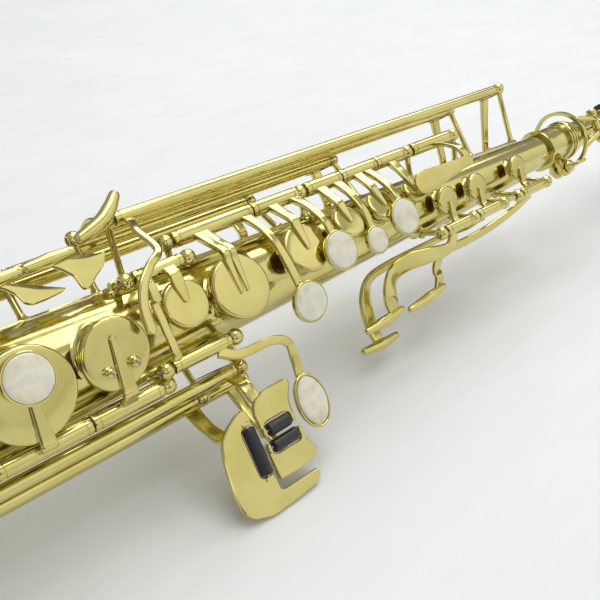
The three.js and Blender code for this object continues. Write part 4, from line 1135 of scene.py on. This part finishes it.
def side_b_flat(shape):
    ribbon(shape, [point(-28.2, 301.6, -13.4), point(-30.2, 301.6, -6), point(-30, 301.6, 1),
                   point(-29.4, 301.6, 8)], 7, 1.5, ACROSS, 6, (0, 0), 0, LACQUER, 0.5)
    plate(shape, [[-29.8, 298.2], [-27.4, 301], [-25, 304.2], [-22.6, 306.2], [-19.4, 307.4],
                  [-18.4, 309.4], [-18.4, 314], [-18.8, 318.4], [-19.8, 320.4], [-20.8, 316.4],
                  [-22.4, 312.3], [-25.7, 307.6], [-29.8, 305.2]], 7.2, 1.6, 1.0, 0.4)
    rod(shape, [point(-27.9, 295, 9.6), point(-28.2, 302, 9.7), point(-28.5, 309, 9.6)],
        [1.7, 2.1, 1.7], 22)


side_key("high_f_sharp_key", HIGH_F_SHARP, (346, 555), high_f_sharp)
side_key("high_e_key", HIGH_E, (336, 523), high_e)
side_key("side_c_key", SIDE_C, (312, 449), side_c)
side_key("side_b_flat_key", SIDE_B_FLAT, (288, 406), side_b_flat)


# ---------------------------------------------------------------- front F and palm keys
def front_f():
    shape = Shape()
    tube(shape, UPPER, 475, 500.4, 2.7)
    ribbon(shape, [point(-7.6, 455, 23.2), point(-7.2, 461, 23.5), point(-7.6, 472, 23.6),
                   point(-8.2, 483, 23.5), point(-8.4, 491.6, 23.2)], [7.2, 9.2, 7, 5, 4.6],
           [1.6, 1.7, 1.6, 1.6, 1.6], FRONT, 7, (1, 1), 0.0, LACQUER, 0.6)
    ribbon(shape, [point(UPPER.x + 0.8, 489, UPPER.z + 1.3), point(-18, 489, 17), point(-14, 489, 22),
                   point(-8.8, 489, 23.4)], [5, 4, 4, 4.2], 1.6, point(-0.4, 0, 1), 6, (0, 1))
    finish_key("front_f_key", shape, None, 0, UPPER)


front_f()


def palm_key(name, span, route, widths, touch):
    hole = HOLES[name]
    shape = Shape()
    cup(shape, hole)
    cup_arm(shape, PALM, hole, None, 3.2)
    tube(shape, PALM, *span)
    facing = [(0.7, 0, 0.9)] * len(route)
    ribbon(shape, route, widths, 1.6, facing, 7, (0, 0), 0, LACQUER, 0.5)
    rod(shape, touch, [1.5, 2.3, 1.4], 22)
    finish_key(name, shape, hole, 0, PALM)


palm_key("palm_d_key", (469, 485.6), [point(15.9, 473, 15.9), point(20.8, 469, 13.4),
                                      point(20, 460, 9.6), point(19, 451, 6.6), point(21, 443, 5.2),
                                      point(27, 438, 5), point(34, 436, 5)], [5, 6, 7.6, 8.6, 9, 9, 6],
         [point(34.6, 440.4, 5), point(35.4, 430, 5.4), point(35.6, 420, 5)])
palm_key("palm_e_flat_key", (490.4, 507), [point(15.9, 494, 14.6), point(16.9, 491.8, 8),
                                           point(16.8, 484, 2), point(16.9, 470, -0.5),
                                           point(17.4, 448, -2), point(19.6, 438, -4),
                                           point(27, 434, -6), point(36, 432, -6),
                                           point(43.6, 431, -4.4)], [4, 3, 2.8, 3.4, 4, 4.6, 7, 7, 5],
         [point(44, 440, -3.6), point(44.2, 431, -3), point(43.2, 421, -3)])
palm_key("palm_f_key", (523, 541), [point(15.9, 529, 15.2), point(19, 522, 10.5), point(21.6, 508, 6.8),
                                    point(22.4, 490, 5.8), point(22.2, 475, 4.8), point(26, 469, 4),
                                    point(31, 466.8, 4.2), point(35, 463, 4.6)],
         [4, 4, 4, 4, 4.4, 6, 6.6, 5], [point(34.6, 466.4, 5), point(35.8, 456, 5.4),
                                        point(36.4, 444.6, 5)])


# ---------------------------------------------------------------- octave mechanism
def octave_keys():
    lever = Shape()
    tube(lever, THUMB, 450, 561)
    plate(lever, [[-13, 452], [-2, 450.4], [1, 454], [1, 464], [-2, 468], [-13, 466]], -24.4, 1.7, 2.4, 0.5)
    ribbon(lever, [point(THUMB.x - 1.3, 459, THUMB.z - 0.6), point(1.5, 459, -23.2),
                   point(-3, 459, -23.5)], 8, 1.4, FRONT, 6, (0, 1))
    ribbon(lever, [point(THUMB.x + 1.2, 558, THUMB.z + 0.9), point(8.2, 558, -16),
                   point(6.9, 558, -10.5)], [4.4, 3.4, 3], 1.6, point(0.7, 0, -0.7), 6, (0, 1))
    rod(lever, [point(6.5, 556, -10.1), point(6.5, 593.4, -10.1)], 0.8, 16, 1)
    finish_key("octave_thumb_lever", lever, None, 0, THUMB)
    hole = HOLES["body_octave_key"]
    small = Shape()
    cup(small, hole)
    cup_arm(small, BODY_OCTAVE, hole, None, 3.0)
    tube(small, BODY_OCTAVE, 486, 504)
    finish_key("body_octave_key", small, hole, 0, BODY_OCTAVE)


octave_keys()


# ---------------------------------------------------------------- neck receiver and screw
def receiver():
    shape = Shape()
    tenon = 7.15
    profile = [(body_radius(568) + 0.1, 568), (9.7, 568), (10.0, 568.4), (10.0, 569.8), (9.6, 570.4),
               (9.25, 570.9), (9.15, 576), (9.15, 587.8), (9.3, 588.6), (9.7, 589.1), (10.0, 589.7),
               (10.0, 591.3), (9.7, 592), (tenon, 592), (tenon, 575.3), (body_radius(575) + 0.1, 575.3)]
    bore_ring(shape, profile, 72)
    for side in (-1, 1):
        plate(shape, [[8.2, 577.8], [14.6, 577.8], [17, 580.2], [17, 583.2], [14.6, 585.4],
                      [8.2, 585.4]], 0.75 if side > 0 else -3.75, 3.0, 1.4, 0.5)
        lathe(shape, [(1.6, 0), (2.6, 0), (2.9, 0.3), (2.9, 0.6), (1.6, 0.6), (1.6, 0)] , 32,
              point(13, 581.6, 3.4 * side), point(0, 0, side))
    emit("neck_receiver_look", shape, "saxophone", ["neck_receiver"])
    screw = Shape()
    axis, centre = FRONT, point(13, 581.6, 0)
    lathe(screw, [(0, -6), (1.1, -6), (1.35, -5.7), (1.35, 4.1), (2.6, 4.3), (2.9, 4.7), (2.9, 6.2),
                  (2.3, 6.8), (1.3, 7.2), (0, 7.2)], 32, centre, axis)
    plate(screw, [[-4.3, 0], [4.3, 0], [5, 3.5], [4.2, 6.4], [1.6, 6.8], [0, 5.9], [-1.6, 6.8],
                  [-4.2, 6.4], [-5, 3.5]], -0.85, 1.7, 1.4, 0.55, LACQUER,
          (point(13, 581.6, 6.3), ALONG, FRONT, ACROSS))
    emit("neck_screw_look", screw, "neck_screw", ["neck_screw"])


receiver()


# ---------------------------------------------------------------- neck
def neck():
    shape = Shape()
    r = body_radius
    profile = [(7.05, 577), (7.1, 577.4), (7.1, 592.25), (8.6, 592.3), (8.85, 592.6), (8.85, 593.4),
               (8.2, 594), (8.2, 595.2), (8.6, 595.6), (8.6, 596.4), (7.6, 597.2), (r(598), 598)]
    profile += [(r(s), s) for s in range(603, 649, 5)] + [(r(649.4), 649.4), (r(650) - 0.2, 650),
                                                          (r(650) - 0.8, 650), (r(649) - WALL, 648.8)]
    profile += [(r(s) - WALL, s) for s in range(640, 599, -8)] + [(6.0, 590), (6.0, 577)]
    bore_ring(shape, profile, 72)
    vent = 623
    lathe(shape, [(3.6, 0), (3.0, 0.5), (2.3, 0.9), (2.0, 1.5), (2.0, 2.1), (1.7, 2.25), (0.9, 2.25),
                  (0.8, 2.0), (0.8, -1)], 32, point(0, vent, r(vent) - 0.25), FRONT)
    pivot = point(0, 607, 11.6)
    for x in (-6.6, 6.6):
        head = pivot + point(x, 0, 0)
        post(shape, point(x * 0.72, 607, 5.2), head, ACROSS)
    rod(shape, [pivot - point(6, 0, 0), pivot + point(6, 0, 0)], 0.8, 12, 1, STEEL, "flat")
    emit("neck_tube_look", shape, "neck", ["neck_tube"])

    key = Shape()
    lathe(key, [(13.1, -0.8), (13.25, -1.05), (14.6, -1.05), (14.85, -0.8), (14.85, 0.8), (14.6, 1.05),
                (13.25, 1.05), (13.1, 0.8), (13.1, -0.8)], 96, point(0, 590.5, 0), ALONG)
    lathe(key, [(1.0, -4.9), (1.9, -4.9), (2.1, -4.6), (2.1, 4.6), (1.9, 4.9), (1.0, 4.9), (1.0, -4.9)],
          32, pivot, ACROSS)
    for side in (-1, 1):
        ribbon(key, [point(side * 3.2, 606, 13), point(side * 3.9, 602, 14.4),
                     point(side * 5.4, 596, 14.2), point(side * 7.2, 590.6, 12.2)],
               [2.6, 2.2, 2.2, 2.4], 1.6, FRONT, 7, (0, 1), 0, LACQUER, 0.6)
    top = r(vent) + 2.3
    lathe(key, [(0, 0.6), (3.0, 0.6), (3.1, 0.1), (3.5, 0.1), (3.6, 0.4), (3.6, 1.2), (3.3, 1.6),
                (2.6, 1.95), (1.4, 2.3), (0, 2.4)], 40, point(0, vent, top), FRONT)
    lathe(key, [(0, 0.7), (2.9, 0.7), (2.9, 0.2), (2.4, 0), (0, 0)], 32, point(0, vent, top), FRONT, CORK)
    ribbon(key, [point(0, 608, 13), point(0, 612, 14), point(0, 617, 13.4), point(0, 622.6, top + 2.1)],
           [4, 3.2, 3, 2.8], [1.9, 1.6, 1.5, 1.3], FRONT, 7, (0, 1), 0, LACQUER, 0.6)
    emit("neck_octave_key_look", key, "neck_octave_key", ["neck_octave_key"])

    cork = Shape()
    profile = [(r(631) + 0.05, 631), (6.8, 631), (7.05, 631.4), (7.25, 648.4), (7.05, 649),
               (r(649) + 0.05, 649)]
    bore_ring(cork, profile, 64, CORK)
    emit("neck_cork_look", cork, "neck", ["neck_cork"])


neck()


# ---------------------------------------------------------------- mouthpiece
def mouthpiece():
    shape = Shape()
    sides, table = 72, -6.3
    bore, bore_end = 7.75, 652.9
    outer = [(bore, 636), (9.5, 636), (9.8, 636.4), (9.8, 639.4), (9.5, 639.8), (9.3, 640),
             (9.5, 640.3), (9.75, 640.6), (9.7, 641.6), (9.2, 642.8), (8.95, 644)]
    outer += [(8.95 - (s - 644) * 0.012, s) for s in range(650, 674, 4)]
    outer += [(8.6 - (s - 674) * 0.042, s) for s in np.arange(674, 702.1, 1.4)]
    points, rings = [], []
    for r, s in outer:
        rings.append(range(len(points), len(points) + sides))
        beak = 9.2 - (s - 672) * 0.505 if s > 672 else 99
        flat = table + (0.0 if s < 684 else (s - 684) ** 2 * 0.0012)
        for k in range(sides):
            t = 2 * math.pi * k / sides
            x, z = r * math.sin(t), r * math.cos(t)
            if s > 655:
                z = max(z, flat)
            z = soft_min(z, beak) if s > 668 else z
            if s > 690:
                x *= 1 - 0.002 * (s - 690)
            points.append(point(x, s, z))
    rings.insert(0, range(len(points), len(points) + sides))
    for k in range(sides):
        t = 2 * math.pi * k / sides
        points.append(point(bore * math.sin(t), bore_end, bore * math.cos(t)))
    shape.add(points, skin(rings), BLACK)
    emit("mouthpiece_look", shape, "mouthpiece", ["mouthpiece"], 30)

    reed = Shape()
    stations = [(662, 1.0, 10.6), (662.6, 2.0, 11), (672, 2.0, 11), (675, 1.95, 11.1), (682, 1.5, 11.3),
                (690, 0.95, 11.5), (697, 0.5, 11.7), (700.6, 0.28, 11.6), (701.6, 0.2, 8)]
    points, rings = [], []
    for s, t, w in stations:
        outline = section(w, t, 0, 0.3)
        rings.append(range(len(points), len(points) + len(outline)))
        lift = 0 if s < 684 else (s - 684) ** 2 * 0.0006
        for x, z in outline:
            bulge = 1 - (2 * x / w) ** 2 * 0.45 if z < 0 else 1
            points.append(point(x, s, table - 0.12 - t / 2 + z * bulge + lift))
    reed.add(points, skin(rings), CANE)
    emit("reed_look", reed, "mouthpiece", ["reed"])

    band = Shape()
    lathe(band, [(10.62, 665), (11.15, 665), (11.3, 665.3), (11.3, 666.1), (11.05, 666.4),
                 (11.05, 677.6), (11.3, 677.9), (11.3, 678.7), (11.15, 679), (10.62, 679),
                 (10.62, 665)], 96, MIDDLE, ALONG)
    for s in (668.5, 675.5):
        block(band, point(0, s, -12.2), (7, 3.8, 3.6), 0.5, 0.9)
        rod(band, [point(-5, s, -12.6), point(6, s, -12.6)], 0.9, 16, 1, LACQUER, "flat")
        lathe(band, [(0, 0), (1.3, 0), (1.9, 0.3), (2.0, 0.8), (2.0, 2.6), (1.8, 3.0), (0, 3.1)], 20,
              point(3.6, s, -12.6), ACROSS)
    emit("ligature_look", band, "mouthpiece", ["ligature"])


def soft_min(a, b):
    """The lower of two heights, with the corner between them rounded."""
    blend = 1.2
    if abs(a - b) >= 8 * blend:
        return min(a, b)
    return -blend * math.log(math.exp(-a / blend) + math.exp(-b / blend))


mouthpiece()


# ---------------------------------------------------------------- fixtures
def foot_on(shape, angle, s, length, width):
    up = outward(angle)
    ends = [around(angle, body_radius(s + side * length / 2) + 0.75, s + side * length / 2)
            for side in (-1, 1)]
    ribbon(shape, [ends[0], (ends[0] + ends[1]) / 2, ends[1]], width, 1.6, up, 6, (1, 1), 0.35, LACQUER,
           0.5)


def fixtures():
    base = body_radius(292) + 0.3
    hook = Shape()
    foot_on(hook, 180, 292, 20, 8)
    for s in (286, 298):
        screw_head(hook, around(180, body_radius(s) + 1.75, s), outward(180), 1.5, 0.8)
    ribbon(hook, [point(0, 287.4, -base - 0.9), point(0, 284.6, -base - 4), point(0.2, 284, -base - 9),
                  point(3.4, 284, -base - 14.2), point(8.6, 284.6, -base - 16.4),
                  point(14, 285, -base - 17)], [7.4, 8, 8.6, 9, 9, 8.2], [2.2, 2.4, 2.4, 2.3, 2.2, 2],
           [(0, 1, -0.6), (0, 1, -0.2), (-1, 0.6, 0), (-1, 0.2, -0.7), (-0.2, 0, -1), (0, 0, -1)], 8,
           (0, 1), 0.3, LACQUER, 0.9)
    emit("thumb_hook_look", hook, "saxophone", ["thumb_hook"])

    rest = Shape()
    foot_on(rest, 180, 432, 10, 6)
    origin = around(180, body_radius(432) + 1.3, 432)
    lathe(rest, [(0, -0.2), (5.0, -0.2), (5.3, 0.2), (5.55, 1.1), (5.35, 1.8), (4.6, 2.4), (3, 2.85),
                 (1.4, 3.0), (0, 3.02)], 48, origin, outward(180), BLACK)
    lathe(rest, [(0, -0.3), (5.6, -0.3), (5.75, 0), (5.6, 0.35), (0, 0.35)], 48, origin, outward(180))
    emit("thumb_rest_look", rest, "saxophone", ["thumb_rest"])

    ring = Shape()
    base = body_radius(352) + 0.3
    foot_on(ring, 180, 352, 14, 6)
    eye = [(5.6 + 1.2 * math.cos(a), 1.2 * math.sin(a)) for a in np.radians(range(0, 361, 20))]
    eye[-1] = eye[0]
    lathe(ring, eye, 48, point(0, 352, -base - 7.6), ACROSS)
    lathe(ring, [(0, 0), (2.6, 0), (2.6, 0.5), (1.7, 1.2), (1.4, 2.4), (0, 2.4)], 24,
          around(180, base + 0.6, 352), outward(180))
    emit("strap_ring_look", ring, "saxophone", ["strap_ring"])


fixtures()


def guard(name, angle, height, stations, width):
    """A key guard: a strip on feet over the cups, with a felt and its screw above each."""
    shape = Shape()
    up = outward(angle)
    first, last = stations[0], stations[-1]
    ribbon(shape, [around(angle, height, s) for s in (first - 1, (first + last) / 2, last + 1)], width,
           1.7, up, 8, (0.7, 0.7), 0, LACQUER, 0.6)
    for s in stations:
        low = body_radius(s) + 0.55
        ribbon(shape, [around(angle, low, s), around(angle, (low + height) / 2, s),
                       around(angle, height, s)], [6.4, 4.6, 5.4], 1.8, ALONG, 6, (0, 0), 0, LACQUER,
               0.5)
        foot = around(angle, low, s)
        ribbon(shape, [foot - point(0, 3.2, 0), foot, foot + point(0, 3.2, 0)], 7.4, 1.3, up, 4, (1, 1),
               0.3, LACQUER, 0.5)
    for a, b in zip(stations, stations[1:]):
        s = (a + b) / 2
        lathe(shape, [(0, 0), (3.6, 0), (3.9, 0.3), (3.9, 1.5), (3.6, 1.8), (0, 1.8)], 36,
              around(angle, height + 0.5, s), up)
        screw_head(shape, around(angle, height + 2.55, s), up, 2.6, 0.5)
        lathe(shape, [(0, 0), (2.7, 0), (2.9, 0.2), (2.9, 1.0), (0, 1.0)], 32,
              around(angle, height - 1.8, s), up, FELT)
    emit(name + "_look", shape, "saxophone", [name])


guard("bell_key_guard", 140, 37.4, [58.6, 89.4, 119.6], 8)
guard("low_c_guard", -8, 34, [147.4, 178.6], 8)


# ---------------------------------------------------------------- needle springs
def springs():
    shape = Shape()
    for line, s, reach in ((UPPER, 355, 14), (UPPER, 413, -16), (UPPER, 413, 14), (UPPER, 472.5, -12),
                           (UPPER, 472.5, 14), (LOWER, 215.5, 16), (LOWER, 278, -18), (LOWER, 278, 16),
                           (LOWER, 333.6, -16), (PALM, 466.5, 12), (PALM, 488, 12), (PALM, 520.5, 12),
                           (HIGH_F_SHARP, 557.5, -22), (HIGH_E, 525.5, -22), (SIDE_C, 451.5, -22),
                           (SIDE_B_FLAT, 408.5, -22), (LOW_C_SHARP, 362.5, -22), (LOW_B, 94.5, 22),
                           (LOW_B_FLAT, 65.5, 22), (G_SHARP, 356.5, -12), (G_SHARP_LEVER, 359.8, -12),
                           (PINKY, 152.5, 18), (PINKY, 213.5, -12), (THUMB, 447.5, 18),
                           (BODY_OCTAVE, 506.5, -12)):
        spring(shape, line, s, reach)
    emit("needle_springs", shape, "saxophone")


springs()


# ---------------------------------------------------------------- stage, light and camera
def stage():
    mesh = bpy.data.meshes.new("floor")
    half = 20.0
    mesh.from_pydata([(-half, -half, 0), (half, -half, 0), (half, half, 0), (-half, half, 0)], [],
                     [[0, 1, 2, 3]])
    material, tree, node = shader("floor", (0.86, 0.87, 0.87), 0.0, 0.55)
    cloth = added(tree, noise(tree, 90, 5, (1, 0.2, 1)), noise(tree, 6, 2), 0.5)
    paint(tree, node, cloth, [(0.5, (0.83, 0.845, 0.845)), (0.95, (0.88, 0.89, 0.89))])
    polish(tree, node, cloth, 0.5, 0.65, 0.5, 0.95)
    bump(tree, node, cloth, 0.25, 0.0006)
    mesh.materials.append(material)
    floor = bpy.data.objects.new("floor", mesh)
    bpy.context.scene.collection.objects.link(floor)


def light(name, energy, size, place_at, target, colour):
    data = bpy.data.lights.new(name, "AREA")
    data.shape = "RECTANGLE"
    data.size, data.size_y = size
    data.energy, data.color = energy, colour
    lamp = bpy.data.objects.new(name, data)
    lamp.location = place_at
    lamp.rotation_mode = "QUATERNION"
    lamp.rotation_quaternion = (Vector(target) - Vector(place_at)).to_track_quat("-Z", "Y")
    bpy.context.scene.collection.objects.link(lamp)


def lights():
    world = bpy.data.worlds.new("studio")
    bpy.context.scene.world = world
    world.use_nodes = True
    tree = world.node_tree
    where = tree.nodes.new("ShaderNodeTexCoord")
    split = tree.nodes.new("ShaderNodeSeparateXYZ")
    tree.links.new(where.outputs["Generated"], split.inputs["Vector"])
    sky = ramp(tree, split.outputs["Z"], [(0.0, (0.16, 0.16, 0.16)), (0.12, (0.18, 0.18, 0.178)),
                                          (0.36, (0.36, 0.36, 0.358)), (0.85, (0.70, 0.71, 0.72))])
    tree.links.new(sky, tree.nodes["Background"].inputs["Color"])
    tree.nodes["Background"].inputs["Strength"].default_value = 0.8
    light("window", 13.5, (1.6, 0.9), (-0.9, 1.1, 1.4), (0, 0, 0.05), (0.97, 0.99, 1.0))
    light("overhead", 7, (1.0, 1.0), (0.0, 0.3, 1.6), (0, 0, 0.05), (1.0, 0.99, 0.96))
    light("panel", 12, (3.0, 2.0), (1.45, 1.15, 0.95), (0, 0, 0.1), (1.0, 0.99, 0.97))
    light("fill", 1.5, (0.8, 0.5), (1.3, -0.9, 0.7), (0, 0, 0.05), (1.0, 0.98, 0.94))


def camera():
    data = bpy.data.cameras.new("camera")
    data.sensor_width, data.lens = 36.0, 45.24
    data.clip_start, data.clip_end = 0.01, 50
    made = bpy.data.objects.new("camera", data)
    made.location = Vector(place(point(-2.8, 240.8, 222.5)))
    made.rotation_mode = "QUATERNION"
    made.rotation_quaternion = (-Vector((0.621, -0.583, 0.524))).to_track_quat("-Z", "Y")
    bpy.context.scene.collection.objects.link(made)
    bpy.context.scene.camera = made
    bpy.context.scene.view_settings.view_transform = "Standard"


stage()
lights()
camera()
